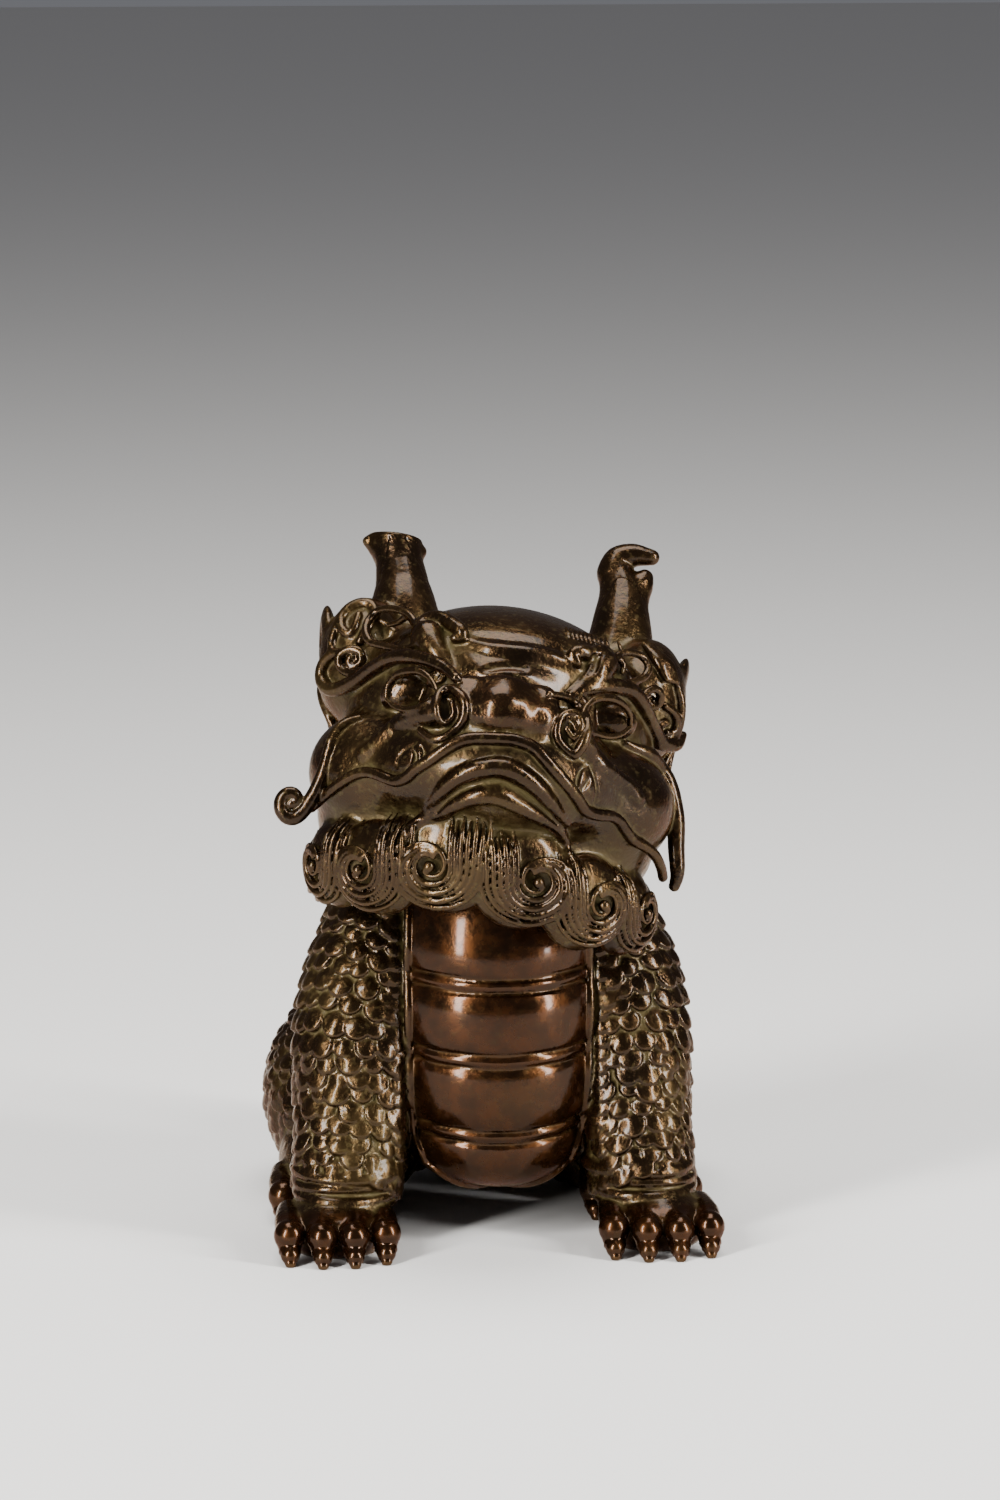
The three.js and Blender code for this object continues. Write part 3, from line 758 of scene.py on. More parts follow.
def head_masses():
    """The broad forms of the head: skull, jaws, cheeks, temples and nose."""
    skull = Clay(HEAD_LOW, HEAD_HIGH, 2 * HEAD_VOXEL)
    skull.ball((0, -3, 2), (22.0, 21, 17.6))
    skull.ball((0, -12, -8), (19.8, 20.4, 10.5), 2)
    skull.ball((0, -5.5, -14.0), (23.4, 16.6, 9.0), 2, tilt=(14, 0, 0))
    skull.ball((0, 7, -6), (20, 12, 14), 2)
    skull.ball((0, -12, 8), (17, 11.5, 7.6), 3)
    skull.ball((-0.6, -17, 5), (8.0, 9, 3.6), 3)
    for side in SIDES:
        skull.ball((side * 15.2, -10.5, -8), (10.4, 11.0, 9.0), 2)
        skull.ball((side * 20 - 0.5, -1, 9.5), (6.2, 8, 9.3), 2)
    skull.limb([(-3.2, -27.4, -1.0), (-0.6, -29.0, -0.8), (2.6, -27.8, -1.0)], (4.2, 4.5, 4.2), 0.8)
    skull.limb([(-5.0, -27.4, 1.6), (-0.8, -29.6, 2.4), (4.2, -27.8, 1.8)], (1.9, 1.9, 1.9), 0.9)
    skull.limb([(-4.4, -27.6, -4.0), (-0.4, -28.5, -4.3), (4.0, -27.8, -4.0)], (2.7, 3.0, 2.7), 0.8)
    for x in NOSE_CORNERS:
        skull.limb([(x, -27.8, 1.6), (x, -28.4, -0.6), (x, -27.8, -3.0)], (2.4, 2.8, 2.6), 0.8)
    for x in WINGS:
        skull.limb([(x, -26.8, -1.9), (x, -24, -1.7), (x * 0.94, -19, -1.4)], (3.3, 3.7, 3.9), 0.6)
    return skull


# Lines of the face, read off the photograph in pixels, for the left and the right of the picture.
NOSE_TOP = [(449, 684), (458, 677), (474, 673), (490, 668), (505, 666), (522, 667), (537, 673), (547, 684),
            (550, 698)]
NOSTRILS = {
    -1: [(421, 731), (434, 740), (449, 737), (463, 721), (465, 702), (452, 690), (439, 696), (436, 713),
         (444, 723), (454, 714), (452, 703)],
    1: [(549, 695), (563, 698), (577, 708), (586, 725), (583, 743), (573, 755), (561, 745), (557, 730),
        (563, 716), (575, 714), (581, 726), (574, 738), (567, 729)],
}
NOSTRIL_HOLES = {-1: (446, 708), 1: (564, 732)}
EYES = {-1: (411, 692), 1: (606, 719)}
# The curl in the inner corner of an eye: how far in and up, its radius, its turns and how flat it is.
CURL_PLACE = (28, 15)
CURL_RADIUS = 8.0
CURL_TURNS = 1.6
CURL_SQUASH = 0.8
UPPER_LID = [(24, 8), (22, -7), (10, -18), (-8, -20), (-20, -12), (-27, 2)]
LOWER_LID = [(24, 8), (14, 16), (0, 18), (-17, 12), (-27, 2)]
MOUSTACHE = [(315, 806), (328, 794), (339, 785), (353, 776), (366, 772), (378, 773), (389, 777),
             (398, 780), (408, 777), (417, 769), (430, 761), (444, 752), (457, 745), (472, 741),
             (505, 741), (519, 744), (533, 750), (545, 762), (558, 776), (569, 788), (577, 799),
             (584, 809), (596, 813), (608, 814), (617, 819), (624, 828), (632, 838), (643, 844),
             (652, 852), (657, 863), (659, 878)]
WHISKERS = {
    -1: [(360, 719), (350, 723), (342, 729), (335, 737), (331, 747), (328, 757), (324, 770)],
    1: [(624, 744), (637, 753), (648, 755), (656, 761), (661, 770)],
}
WHISKER_ENDS = {
    -1: [(318, 786), (311, 799), (302, 812), (292, 818), (284, 813), (281, 804), (284, 795), (292, 791),
         (299, 796), (298, 803), (292, 803)],
    1: [(667, 780), (671, 792), (674, 806), (676, 820), (676, 834), (676, 849), (677, 863), (677, 875),
        (674, 884)],
}
WHISKER_RADII = {
    -1: (0.45, 0.7, 0.8, 0.85, 0.95, 1.0, 1.05, 1.05, 1.0, 0.95, 0.9, 0.8),
    1: (0.6, 1.0, 1.1, 1.2, 1.25, 1.25, 1.25, 1.2, 1.1, 0.8),
}
UPPER_LIP = [(427, 810), (436, 798), (446, 787), (458, 777), (472, 771), (486, 768), (500, 767),
             (514, 771), (527, 779), (539, 789), (549, 801), (558, 813), (567, 824)]
LOWER_LIP = [(396, 850), (404, 836), (414, 825), (428, 817), (443, 811), (457, 803), (472, 797),
             (486, 795), (498, 796), (512, 802), (526, 809), (541, 817), (553, 825), (562, 836),
             (567, 850), (569, 866)]
SLIT = [(437, 812), (447, 801), (459, 791), (472, 785), (486, 782), (500, 782), (514, 788), (527, 796),
        (539, 806), (550, 816), (558, 824)]
BROWS = {
    -1: [(458, 680), (449, 671), (437, 664), (422, 659), (405, 657), (389, 661), (375, 670), (360, 681),
         (344, 688), (332, 689), (325, 682), (324, 671), (328, 661), (336, 654), (344, 654)],
    1: [(570, 696), (584, 690), (600, 687), (616, 687), (630, 692), (639, 704), (646, 718), (654, 733),
        (664, 744), (675, 744), (680, 734)],
}
SHELLS = {
    -1: [(416, 648), (402, 651), (387, 648), (375, 645), (370, 637), (371, 627), (378, 618), (389, 614),
         (401, 615), (411, 619), (418, 628), (419, 639), (415, 648)],
    1: [(606, 682), (618, 685), (630, 683), (640, 678), (643, 669), (637, 660), (626, 656), (614, 658),
        (608, 668)],
}
SHELL_HOLLOWS = {-1: (384, 631), 1: (626, 668)}
SHELL_TONGUES = {
    -1: [(417, 630), (410, 621), (402, 626), (392, 629)],
    1: [(609, 665), (615, 661), (620, 668), (618, 674)],
}
KNOBS = {
    -1: [(418, 646), (420, 634), (427, 626), (438, 623), (450, 627), (461, 634), (463, 640), (456, 641)],
    1: [(608, 672), (606, 660), (598, 655), (588, 658), (578, 655), (571, 657), (575, 664)],
}
KNOB_STEMS = {
    -1: [(427, 636), (434, 650), (444, 663), (455, 676)],
    1: [(602, 664), (596, 676), (585, 685), (571, 694)],
}
KNOB_GROOVES = {
    -1: [(440, 629), (442, 641), (452, 654), (461, 667), (468, 678)],
    1: [(590, 663), (588, 672), (579, 680), (568, 686)],
}
BROW_CURLS = {
    -1: [(385, 661), (374, 668), (362, 673), (351, 674), (343, 668), (341, 659), (347, 652), (357, 651),
         (363, 656), (363, 664), (356, 668), (350, 664), (352, 658), (357, 660)],
    1: [(638, 702), (642, 694), (651, 690), (657, 696), (655, 705), (648, 708), (644, 703), (649, 699)],
}
TEMPLE_CURLS = {
    -1: [(333, 654), (334, 641), (338, 629), (344, 617), (352, 609), (362, 605), (371, 607), (375, 615),
         (372, 625), (365, 632), (360, 642)],
    1: [(676, 688), (679, 702), (678, 718), (674, 732), (666, 743), (657, 744), (653, 736), (657, 726),
        (664, 722)],
}
TEMPLE_CENTRES = {
    -1: [(360, 607), (350, 610), (343, 620), (343, 630), (350, 635), (356, 627), (359, 616)],
    1: [(664, 706), (672, 712), (675, 722), (671, 732), (665, 732)],
}
CHEEK_FOLDS = {
    -1: [(434, 713), (420, 716), (404, 722), (390, 732), (377, 743), (364, 753)],
    1: [(584, 744), (592, 757), (603, 768), (615, 777), (628, 785), (638, 798)],
}
FOREHEAD_FOLD = [(466, 640), (492, 648), (522, 652), (552, 657), (578, 668)]
# Combed hairs in front of each horn: the first and the last hair's root, and their number.
FRINGES = (((414, 618), (448, 612), 9), ((566, 628), (618, 642), 13))
# The first strand of the tuft on the right temple, and how far its places move for the next one.
TUFT = ((644, 648), (655, 662), (664, 680))
TUFT_STEP = ((4, 2), (4, 2), (3, 1))
GILLS = {
    -1: [[(415, 744), (405, 750), (398, 758), (397, 767)], [(412, 747), (416, 755), (414, 764), (408, 770)],
          [(421, 745), (424, 753), (422, 760)]],
    1: [[(588, 762), (581, 770), (577, 780), (577, 789)], [(590, 766), (595, 779), (597, 792), (594, 804)],
         [(580, 791), (587, 784), (590, 778)]],
}


def block_out_face(face):
    """The broad forms of the face: eyeballs in their sockets, cheeks and lips."""
    for side in SIDES:
        face.rope(CHEEK_FOLDS[side], (1.6, 1.6, 1.4, 1.1, 0.6), 0.0, 1.2)
        face.pad(EYES[side], (4.4, 0.9, 3.1), 0.3, 1.0, carve=True)
        face.pad(EYES[side], (4.4, 2.6, 2.9), 0.7, 0.4, lean=-side * 14)
    face.rope(UPPER_LIP, (0.5, 1.0, 1.2, 1.3, 1.3, 1.2, 1.0, 0.5), 0.0, 0.6)
    face.rope(LOWER_LIP, (0.4, 0.7, 1.0, 1.2, 1.3, 1.3, 1.2, 1.0, 0.7, 0.4), 0.1, 0.6)


def add_nose(face):
    face.rope(NOSE_TOP, (0.4, 0.8, 1.0, 1.0, 0.8, 0.4), 0.6, 0.3, carve=True)
    for side in SIDES:
        face.pad(NOSTRIL_HOLES[side], (1.5, 1.2, 2.5), 0.0, 0.3, carve=True)
        lift = (0.2, 0.3, 0.35, 0.3, 0.2, 0.0)
        face.rope(NOSTRILS[side], (0.5, 0.65, 0.7, 0.7, 0.6, 0.5, 0.45, 0.45), lift, 0.2)


def add_eyes(face):
    for side in SIDES:
        u, v = EYES[side]
        inner = (u - side * CURL_PLACE[0], v - CURL_PLACE[1])
        face.pad(inner, (1.9, 1.2, 1.4), 0.2, 0.2, lean=-side * 35)
        face.rope(spiral(inner, CURL_RADIUS, side), 0.26, 0.8, 0.1)
        upper = [(u + side * a, v + b) for a, b in UPPER_LID]
        face.rope(upper, (0.3, 0.45, 0.6, 0.6, 0.4, 0.3), 0.2, 0.5)
        lower = [(u + side * a, v + b) for a, b in LOWER_LID]
        face.rope(lower, (0.3, 0.4, 0.45, 0.4, 0.3), 0.1, 0.5)


def add_brows(face):
    for side in SIDES:
        face.rope(BROWS[side], (0.7, 1.0, 1.1, 1.1, 1.1, 1.0, 0.9, 0.8, 0.6), 0.45, 0.5)
        face.pad(SHELL_HOLLOWS[side], (1.9, 1.2, 2.1), -0.1, 0.5, carve=True)
        face.rope(SHELLS[side], (0.45, 0.55, 0.6, 0.55, 0.5, 0.45), (0.5, 0.8, 0.9, 0.8, 0.6), 0.2)
        face.rope(SHELL_TONGUES[side], (0.4, 0.5, 0.4), 0.7, 0.2)
        face.rope(KNOB_STEMS[side], (2.3, 1.9, 1.3, 0.7), -0.1, 0.5)
        face.rope(KNOBS[side], (0.8, 1.0, 1.15, 1.1, 0.95, 0.7), (0.4, 0.7, 0.8, 0.8, 0.6), 0.3)
        face.rope(KNOB_GROOVES[side], (0.7, 0.65, 0.5, 0.35), 1.5, 0.3, carve=True)
        face.rope(BROW_CURLS[side], (0.45, 0.6, 0.65, 0.6, 0.5), (0.5, 0.7, 0.7, 0.5), 0.2)


def add_cheeks(face):
    for side in SIDES:
        for line in GILLS[side]:
            face.rope(line, (0.2, 0.36, 0.2), 0.05, 0.25, carve=True)


def add_mouth(face):
    """The rope of moustache over two rounded lips, all arching steeply down."""
    face.rope(SLIT, (0.3, 0.4, 0.45, 0.45, 0.4, 0.3), 0.1, 0.3, carve=True)
    face.rope(MOUSTACHE, (0.7, 0.8, 0.8, 0.85, 0.9, 0.95, 0.9, 0.85, 0.8, 0.8, 0.7), 0.55, 0.25)


def add_whiskers(face):
    """Whiskers that follow the cheek: the left one curls up at its end, the right one hangs clear."""
    for side in SIDES:
        path, where = smooth_path(WHISKERS[side], 0.45 * face.scale)
        laid = face.at(path, along((0.2, 0.5, 0.2, 0.0), where), 10)
        ways = (np.array(WHISKER_ENDS[side], float) - WHISKERS[side][-1]) / face.scale
        free = laid[-1] + ways[:, :1] * face.right - ways[:, 1:] * face.up
        end, _ = smooth_path([laid[-7], laid[-1], *free], 0.4)
        path = np.concatenate([laid[:-7], end])
        radii = along(WHISKER_RADII[side], np.linspace(0, 1, len(path)))
        face.clay.rope(eased(path, 4), radii, 0.25)


# Locks of the beard on each side of its parting: bearing, height, curl, width, strands and their drop.
BEARD = ((18, -22.4, 3.0, 4.8, 7, 7.0), (44, -23.4, 2.9, 4.4, 7, 7.6), (72, -22.2, 2.5, 4.0, 6, 7.0),
         (102, -20.6, 2.2, 3.4, 5, 6.0))
# Rows of the mane: rise, height and the bearing of each lock.
MANE = ((38, 2, (120, 150, 180, 210, 240)), (8, 1, (104, 134, 164, 196, 226, 256)),
        (-14, -1, (126, 153, 180, 207, 234)))


def beard_locks(clay):
    """Locks on a ring under the jaw, parted in the middle."""
    upright = HEAD_POSE.T @ (0, 0, 1)
    for bearing, height, inner, width, strands, drop in reversed(BEARD):
        for side in SIDES:
            turn = math.radians(bearing)
            centre = (side * 24.4 * math.sin(turn) + 0.4, -5 - 19.4 * math.cos(turn), height)
            out = HEAD_POSE.T @ facing(side * (0.8 * bearing) + HEAD_TURN, -2)
            yield Lock(clay, centre, out, upright, -side, inner, width, strands, drop, squash=0.92)


def mane_locks(clay):
    """Rows of locks round the nape, curling outward from the middle."""
    for rise, height, bearings in MANE:
        for bearing in bearings:
            out = facing(bearing, rise)
            patch = Patch(clay, (0, -2, height), out)
            centre = patch.at([(0, 0)], 1.4)[0]
            yield Lock(clay, centre, out, (0, 0, 1), 1 if bearing <= 180 else -1, 2.4, 3.8, 5, 6.5)


def add_temples(clay, face):
    """Curls over the temples and an ear on each side."""
    for side in SIDES:
        ear = side * 24.4 - 0.8
        clay.ball((ear, 1.4, 9.6), (1.5, 4.9, 8.0), 0.5, tilt=(0, side * 10, 0))
        clay.ball((ear + side * 1.4, 0.6, 9.6), (1.0, 2.8, 5.4), 0.4, tilt=(0, side * 10, 0), carve=True)
        face.rope(TEMPLE_CURLS[side], (0.6, 0.75, 0.8, 0.8, 0.7, 0.6), 0.3, 0.25)
        face.rope(TEMPLE_CENTRES[side], (0.5, 0.65, 0.65, 0.5), 0.3, 0.2)


def add_horns(clay):
    """Two short antlers: the left one worn to a flared stump, the right one hooked above a notch."""
    left = [(-14.6, 3, 12), (-15.6, 3.4, 18), (-16.3, 4, 22), (-17.2, 4.8, 25.6), (-18.0, 5.4, 28.4),
            (-18.3, 5.8, 30.0)]
    clay.limb(left, (6.0, 5.0, 3.9, 3.4, 3.5, 3.8), 1.2, 0.6)
    clay.limb([(-20.2, 5.4, 27.6), (-22.2, 5.2, 28.6)], (1.5, 0.8), 0.9, 0.5)
    clay.limb([(-16.4, 5.4, 27.4), (-14.6, 5.2, 28.2)], (1.5, 0.9), 0.8, 0.5)
    clay.ball((-18.4, 5.6, 36.4), (9.0, 9.0, 7.0), 0.5, carve=True)
    right = [(15.0, 3, 13), (15.4, 3.4, 18), (15.2, 4, 22), (14.8, 4.8, 26), (13.4, 5.4, 29.6)]
    clay.limb(right, (5.8, 4.8, 4.1, 3.3, 2.4), 1.2, 0.6)
    tine = [(13.2, 5.4, 29.2), (13.6, 5.4, 31.2), (15.6, 5, 32.2), (18.2, 4.6, 32.2)]
    clay.limb(tine, (2.4, 2.1, 1.7, 1.15), 0.5, 0.5)
    clay.limb([(15.8, 4.8, 25.2), (17.0, 4.7, 27.6), (17.6, 4.6, 29.0)], (2.7, 2.0, 1.3), 0.7, 0.5)


def add_folds(face):
    """A soft fold across the forehead over the nose."""
    face.rope(FOREHEAD_FOLD, (0.4, 1.1, 1.3, 1.1, 0.4), -0.4, 0.9)


def add_fringes(face):
    """Short combed hairs in front of each horn, and a tuft on the right temple."""
    for first, last, count in FRINGES:
        for k in range(count):
            u, v = np.array(first) + (np.array(last) - first) * k / (count - 1)
            face.rope([(u, v), (u + 2, v + 5), (u + 4, v + 10)], (0.2, 0.34, 0.2), 0.0, 0.1)
    for k in range(4):
        face.rope(np.array(TUFT) + k * np.array(TUFT_STEP), (0.4, 0.75, 0.5), 0.6, 0.15)


def build_head():
    head = head_masses()
    place = np.array(HEAD_PLACE) + PART_SHIFT
    locks = [*mane_locks(head), *beard_locks(head)]
    for lock in locks:
        lock.cushion(head)
    block_out_face(Sight(head, HEAD_POSE, place))
    clay = head.finer()
    face = Sight(clay, HEAD_POSE, place, head)
    add_temples(clay, face)
    add_horns(clay)
    add_nose(face)
    add_eyes(face)
    add_brows(face)
    add_folds(face)
    add_fringes(face)
    add_cheeks(face)
    for lock in locks:
        lock.clay, lock.skin = clay, head
        lock.comb()
    add_mouth(face)
    add_whiskers(face)
    return clay


def to_part(points, head):
    """Sculpting places in mm as places in the part's frame in metres."""
    if head:
        points = points @ HEAD_POSE.T + np.array(HEAD_PLACE)
    return (points + PART_SHIFT) * MM


def rubbed_places(points, head):
    """Where hands have rubbed the bronze glossy, from 0 to 1: belly plates, toes and claws, or the nose."""
    x, y, z = points.T
    if head:
        away = np.sqrt((x / 9.5) ** 2 + ((y + 28) / 8) ** 2 + ((z + 0.8) / 5.5) ** 2)
        return 0.4 * (1 - smooth_step(0.8, 1.15, away))
    belly = smooth_step(0.8, -0.4, np.abs(x) - PLATE_HALF_WIDTH)
    belly *= smooth_step(-3, -6, y) * smooth_step(6, 8, z)
    forepaws = smooth_step(7.4, 6.0, z) * smooth_step(FOREPAW_TIP + 9, FOREPAW_TIP + 7, y)
    hindpaws = smooth_step(7.4, 6.0, z) * smooth_step(HINDPAW_TIP + 8, HINDPAW_TIP + 6, y)
    hindpaws *= smooth_step(HINDPAW_TIP - 2, HINDPAW_TIP, y)
    return np.maximum(belly, np.maximum(forepaws, hindpaws))


def paint(mesh, name, values):
    attribute = mesh.attributes.new(name, "FLOAT", "POINT")
    attribute.data.foreach_set("value", np.clip(values, 0, 1).astype(np.float32))


def drop_crumbs(mesh):
    """Removes bodies of a few faces, such as the end of a groove that closed on itself."""
    count = len(mesh.vertices)
    edges = np.empty(2 * len(mesh.edges), np.int32)
    mesh.edges.foreach_get("vertices", edges)
    a, b = edges[::2], edges[1::2]
    body = np.arange(count)
    while True:
        low = np.minimum(body[a], body[b])
        joined = body.copy()
        np.minimum.at(joined, a, low)
        np.minimum.at(joined, b, low)
        joined = joined[joined]
        if (joined == body).all():
            break
        body = joined
    crumbs = np.bincount(body, minlength=count)[body] < SMALLEST_BODY
    if crumbs.any():
        work = bmesh.new()
        work.from_mesh(mesh)
        work.verts.ensure_lookup_table()
        bmesh.ops.delete(work, geom=[work.verts[i] for i in np.flatnonzero(crumbs)], context="VERTS")
        work.to_mesh(mesh)
        work.free()


def show(name, data):
    """A new object of the scene for a mesh, a light or the camera."""
    shown = bpy.data.objects.new(name, data)
    bpy.context.scene.collection.objects.link(shown)
    return shown


def cast_piece(name, clay, relief, cut, way, head, material):
    """One closed mesh of the clay in front of a cut, way 1, or behind it, way -1."""
    depth = clay.low[1] + clay.voxel * np.arange(clay.field.shape[1], dtype=np.float32).reshape((1, -1, 1))
    field = np.maximum(clay.field, (depth - cut) * way - CUT_OVERLAP)
    if way < 0:
        field = field + CUT_SINK * smooth_step(-0.02, 0.02, cut - depth)
    band = 3 * clay.voxel
    grid = openvdb.FloatGrid(band)
    grid.copyFromArray(np.clip(field, -band, band), tolerance=1e-4)
    points, triangles, quads = grid.convertToPolygons(isovalue=0.0, adaptivity=0.0)
    points = points * clay.voxel + clay.low
    mesh = bpy.data.meshes.new(name)
    mesh.vertices.add(len(points))
    mesh.vertices.foreach_set("co", points.astype(np.float32).ravel())
    loops = np.concatenate([triangles[:, ::-1].ravel(), quads[:, ::-1].ravel()]).astype(np.int32)
    mesh.loops.add(len(loops))
    mesh.loops.foreach_set("vertex_index", loops)
    starts = np.concatenate([np.arange(len(triangles)) * 3, len(triangles) * 3 + np.arange(len(quads)) * 4])
    mesh.polygons.add(len(starts))
    mesh.polygons.foreach_set("loop_start", starts.astype(np.int32))
    mesh.update(calc_edges=True)
    piece = show(name, mesh)
    faces = len(triangles) + 2 * len(quads)
    if faces > MOST_FACES:
        bpy.context.view_layer.objects.active = piece
        thin = piece.modifiers.new("thin", "DECIMATE")
        thin.ratio = MOST_FACES / faces
        bpy.ops.object.modifier_apply(modifier="thin")
    mesh = piece.data
    drop_crumbs(mesh)
    co = np.empty(len(mesh.vertices) * 3, np.float32)
    mesh.vertices.foreach_get("co", co)
    points = co.reshape(-1, 3).astype(float)
    for layer, (blurred, full) in relief.items():
        paint(mesh, layer, 0.5 + 0.5 * blurred.sample(points) / full)
    paint(mesh, "rubbed", rubbed_places(points, head))
    mesh.vertices.foreach_set("co", to_part(points, head).astype(np.float32).ravel())
    mesh.polygons.foreach_set("use_smooth", np.ones(len(mesh.polygons), bool))
    mesh.materials.append(material)
    mesh.update()
    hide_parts("beast_figure")
    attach(piece, "root")


class Shading:
    """A node material, built from the surface's own attributes and procedural noise."""

    def __init__(self, name):
        self.material = bpy.data.materials.new(name)
        self.material.use_nodes = True
        self.nodes = self.material.node_tree.nodes
        self.nodes.clear()
        self.place = self.node("ShaderNodeTexCoord").outputs["Object"]

    def node(self, kind, inputs=None, **settings):
        made = self.nodes.new(kind)
        for name, value in settings.items():
            setattr(made, name, value)
        for key, value in (inputs or {}).items():
            if isinstance(value, bpy.types.NodeSocket):
                self.material.node_tree.links.new(value, made.inputs[key])
            else:
                made.inputs[key].default_value = value
        return made

    def layer(self, name):
        return self.node("ShaderNodeAttribute", attribute_name=name).outputs["Fac"]

    def noise(self, size, detail=3.0):
        """Noise whose features are about the given size in mm."""
        inputs = {"Vector": self.place, "Scale": 1000 / size, "Detail": detail}
        return self.node("ShaderNodeTexNoise", inputs).outputs[0]

    def spread(self, value, low, high, start=0.0, end=1.0):
        inputs = {"Value": value, "From Min": low, "From Max": high, "To Min": start, "To Max": end}
        return self.node("ShaderNodeMapRange", inputs, interpolation_type="SMOOTHSTEP").outputs[0]

    def plus(self, a, b):
        return self.node("ShaderNodeMath", {0: a, 1: b}, operation="ADD", use_clamp=True).outputs[0]

    def times(self, a, b):
        return self.node("ShaderNodeMath", {0: a, 1: b}, operation="MULTIPLY", use_clamp=True).outputs[0]

    def blend(self, share, a, b):
        return self.node("ShaderNodeMix", {0: share, 6: a, 7: b}, data_type="RGBA").outputs[2]


# Colours of the patina.
DARK_BROWN = (0.016, 0.0085, 0.004, 1)
MID_BROWN = (0.034, 0.017, 0.006, 1)
CHESTNUT = (0.042, 0.013, 0.0028, 1)
DARK_CHESTNUT = (0.02, 0.0075, 0.0022, 1)
WORN_METAL = (0.14, 0.08, 0.03, 1)
OLIVE_DUST = (0.04, 0.032, 0.01, 1)
WARM_SHEEN = (0.7, 0.5, 0.35, 1)
# Sizes of the patina's clouds, mottling and grain in mm, and the depth of its grain in metres.
CLOUD = 14
MOTTLE = 2.6
GRAIN = 0.8
GRAIN_DEPTH = 0.00025


def bronze():
    """Waxed brown bronze: rubbed bright on high places, with dull olive dust in the hollows."""
    shading = Shading("patinated_bronze")
    fine, broad, rubbed = (shading.layer(name) for name in ("relief", "hollow", "rubbed"))
    cloud, mottle, grain = shading.noise(CLOUD), shading.noise(MOTTLE, 4.0), shading.noise(GRAIN)
    unrubbed = shading.spread(rubbed, 0.0, 1.0, 1.0, 0.3)

    groove = shading.spread(fine, 0.5, 0.2)
    recess = shading.spread(broad, 0.52, 0.3)
    dust = shading.plus(shading.times(groove, 0.75), shading.times(recess, 0.45))
    dust = shading.times(dust, shading.spread(mottle, 0.3, 0.7, 0.45, 1.0))
    dust = shading.plus(dust, shading.spread(cloud, 0.5, 0.75, 0.0, 0.3))
    dust = shading.plus(dust, shading.spread(grain, 0.52, 0.72, 0.0, 0.4))
    dust = shading.times(dust, unrubbed)
    worn = shading.spread(fine, 0.6, 1.0)

    colour = shading.blend(shading.spread(cloud, 0.3, 0.7), DARK_BROWN, MID_BROWN)
    speckled = shading.blend(shading.spread(mottle, 0.25, 0.75), DARK_CHESTNUT, CHESTNUT)
    colour = shading.blend(shading.spread(rubbed, 0.0, 1.0, 0.0, 0.85), colour, speckled)
    colour = shading.blend(shading.times(worn, 0.32), colour, WORN_METAL)
    colour = shading.blend(dust, colour, OLIVE_DUST)

    metal = shading.spread(dust, 0.0, 1.0, 0.9, 0.25)
    rough = shading.spread(mottle, 0.3, 0.7, 0.18, 0.32)
    rough = shading.plus(rough, shading.times(dust, 0.3))
    wax = shading.spread(dust, 0.0, 1.0, 0.28, 0.04)
    height = shading.plus(shading.times(grain, 0.7), shading.times(mottle, 0.3))
    height = shading.times(height, unrubbed)
    bump = shading.node("ShaderNodeBump", {"Strength": 0.8, "Distance": GRAIN_DEPTH, "Height": height})
    inputs = {
        "Base Color": colour, "Metallic": metal, "Roughness": rough, "Specular Tint": WARM_SHEEN,
        "Coat Weight": wax, "Coat Roughness": 0.12, "Coat IOR": 1.42, "Normal": bump.outputs[0],
    }
    shader = shading.node("ShaderNodeBsdfPrincipled", inputs)
    shading.node("ShaderNodeOutputMaterial", {"Surface": shader.outputs[0]})
    return shading.material


# Relief against near and wider surroundings: their half width in mm, how far the grid is thinned out to
# average them, and the height that counts as full.
RELIEF_LAYERS = {"relief": (0.7, 1, 0.33), "hollow": (2.4, 2, 1.1)}


def relief_of(clay):
    """The clay averaged for each layer of relief, and the layer's full height."""
    return {name: (clay.blurred(width, thin), full) for name, (width, thin, full) in RELIEF_LAYERS.items()}


patina = bronze()
body = build_body()
relief = relief_of(body)
cast_piece("forebody", body, relief, BODY_CUT, 1, False, patina)
cast_piece("hindquarters", body, relief, BODY_CUT, -1, False, patina)
head = build_head()
relief = relief_of(head)
cast_piece("face", head, relief, HEAD_CUT, 1, True, patina)
cast_piece("mane", head, relief, HEAD_CUT, -1, True, patina)


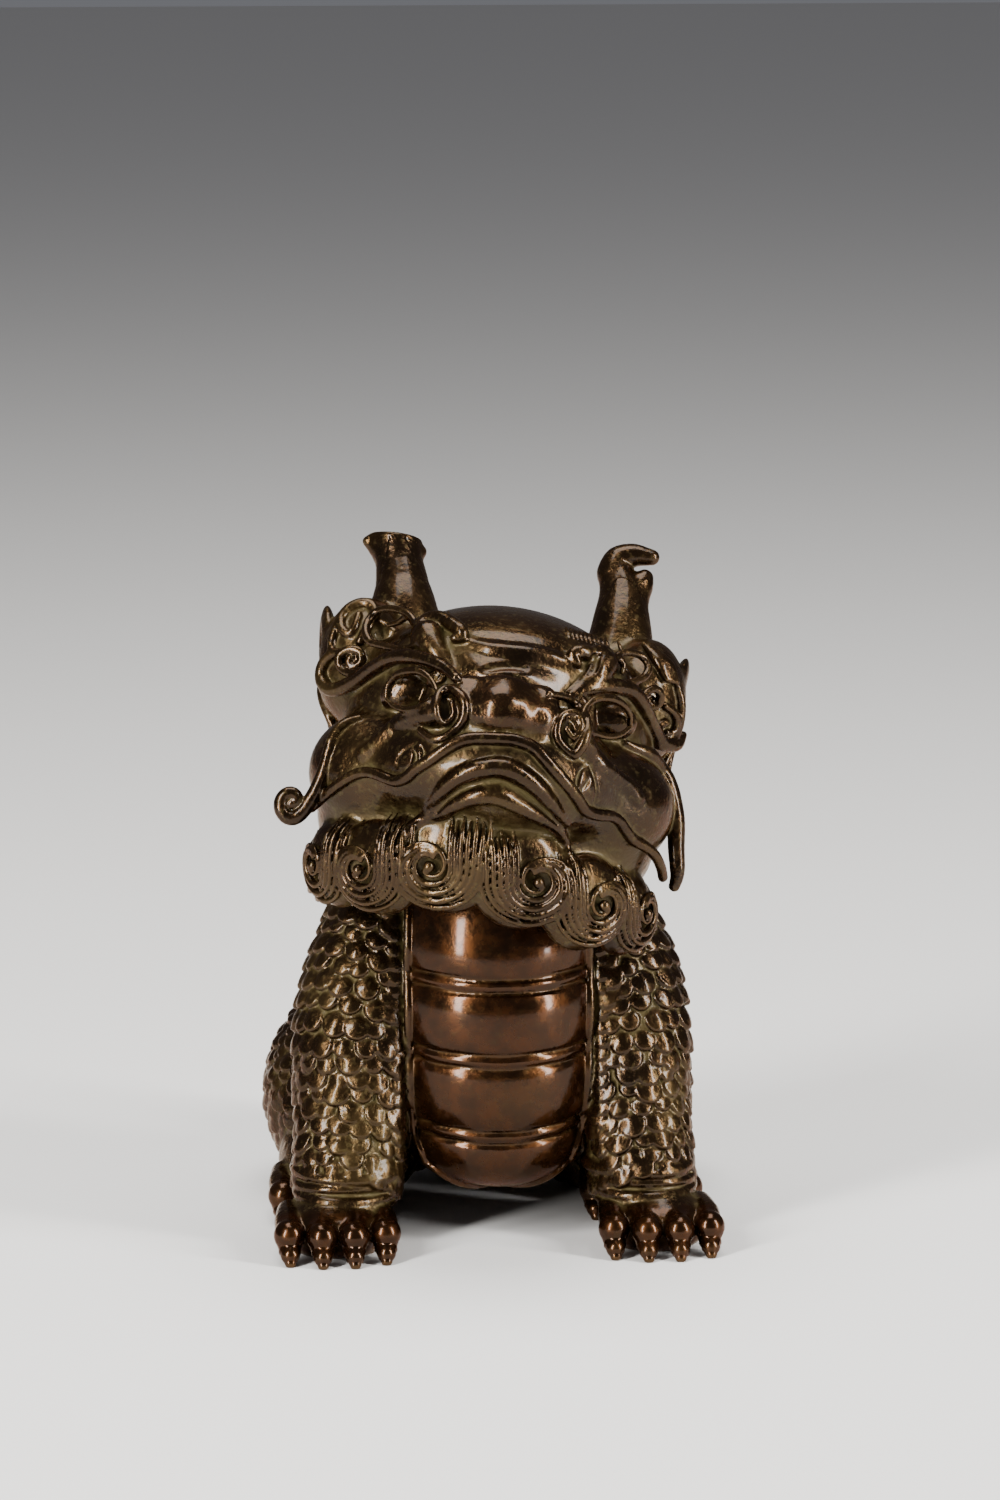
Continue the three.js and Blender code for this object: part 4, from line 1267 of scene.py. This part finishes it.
# The studio, in metres and watts: each softbox has a place, a size and a power, and all look at one spot.
SOFTBOXES = {
    "left_softbox": ((-0.5, -0.5, 0.32), (0.11, 0.62), 15),
    "right_softbox": ((0.56, -0.36, 0.3), (0.09, 0.6), 11),
    "top_softbox": ((0, 0.05, 0.7), (0.5, 0.4), 6),
}
LIT_SPOT = (0, 0, 0.05)
FLOOR_HALF = 3
FLOOR_COLOUR = (0.72, 0.7, 0.67, 1)
FLOOR_ROUGHNESS = 0.8
SKY_COLOUR = (0.9, 0.92, 1.0, 1)
SKY_STRENGTH = 0.17
CAMERA_NEAR = 0.01


def softbox(name, place, size, power):
    light = bpy.data.lights.new(name, "AREA")
    light.shape = "RECTANGLE"
    light.size, light.size_y = size
    light.energy = power
    lamp = show(name, light)
    lamp.location = Vector(place)
    lamp.rotation_euler = (Vector(LIT_SPOT) - Vector(place)).to_track_quat("-Z", "Y").to_euler()


floor_mesh = bpy.data.meshes.new("floor")
corners = [(x * FLOOR_HALF, y * FLOOR_HALF, 0) for x, y in ((-1, -1), (1, -1), (1, 1), (-1, 1))]
floor_mesh.from_pydata(corners, [], [(0, 1, 2, 3)])
pale = bpy.data.materials.new("pale_floor")
pale.use_nodes = True
surface = pale.node_tree.nodes["Principled BSDF"].inputs
surface["Base Color"].default_value = FLOOR_COLOUR
surface["Roughness"].default_value = FLOOR_ROUGHNESS
floor_mesh.materials.append(pale)
floor = show("floor", floor_mesh)

for name, (place, size, power) in SOFTBOXES.items():
    softbox(name, place, size, power)

world = bpy.data.worlds.new("studio")
world.use_nodes = True
sky = world.node_tree.nodes["Background"].inputs
sky["Color"].default_value = SKY_COLOUR
sky["Strength"].default_value = SKY_STRENGTH
bpy.context.scene.world = world

lens = bpy.data.cameras.new("camera")
lens.lens = CAMERA_LENS
lens.sensor_width = FILM
lens.clip_start = CAMERA_NEAR
camera = show("camera", lens)
camera.location = Vector((CAMERA_TARGET + CAMERA_DISTANCE * AWAY) * MM)
camera.rotation_euler = Vector(-AWAY).to_track_quat("-Z", "Y").to_euler()
bpy.context.scene.camera = camera
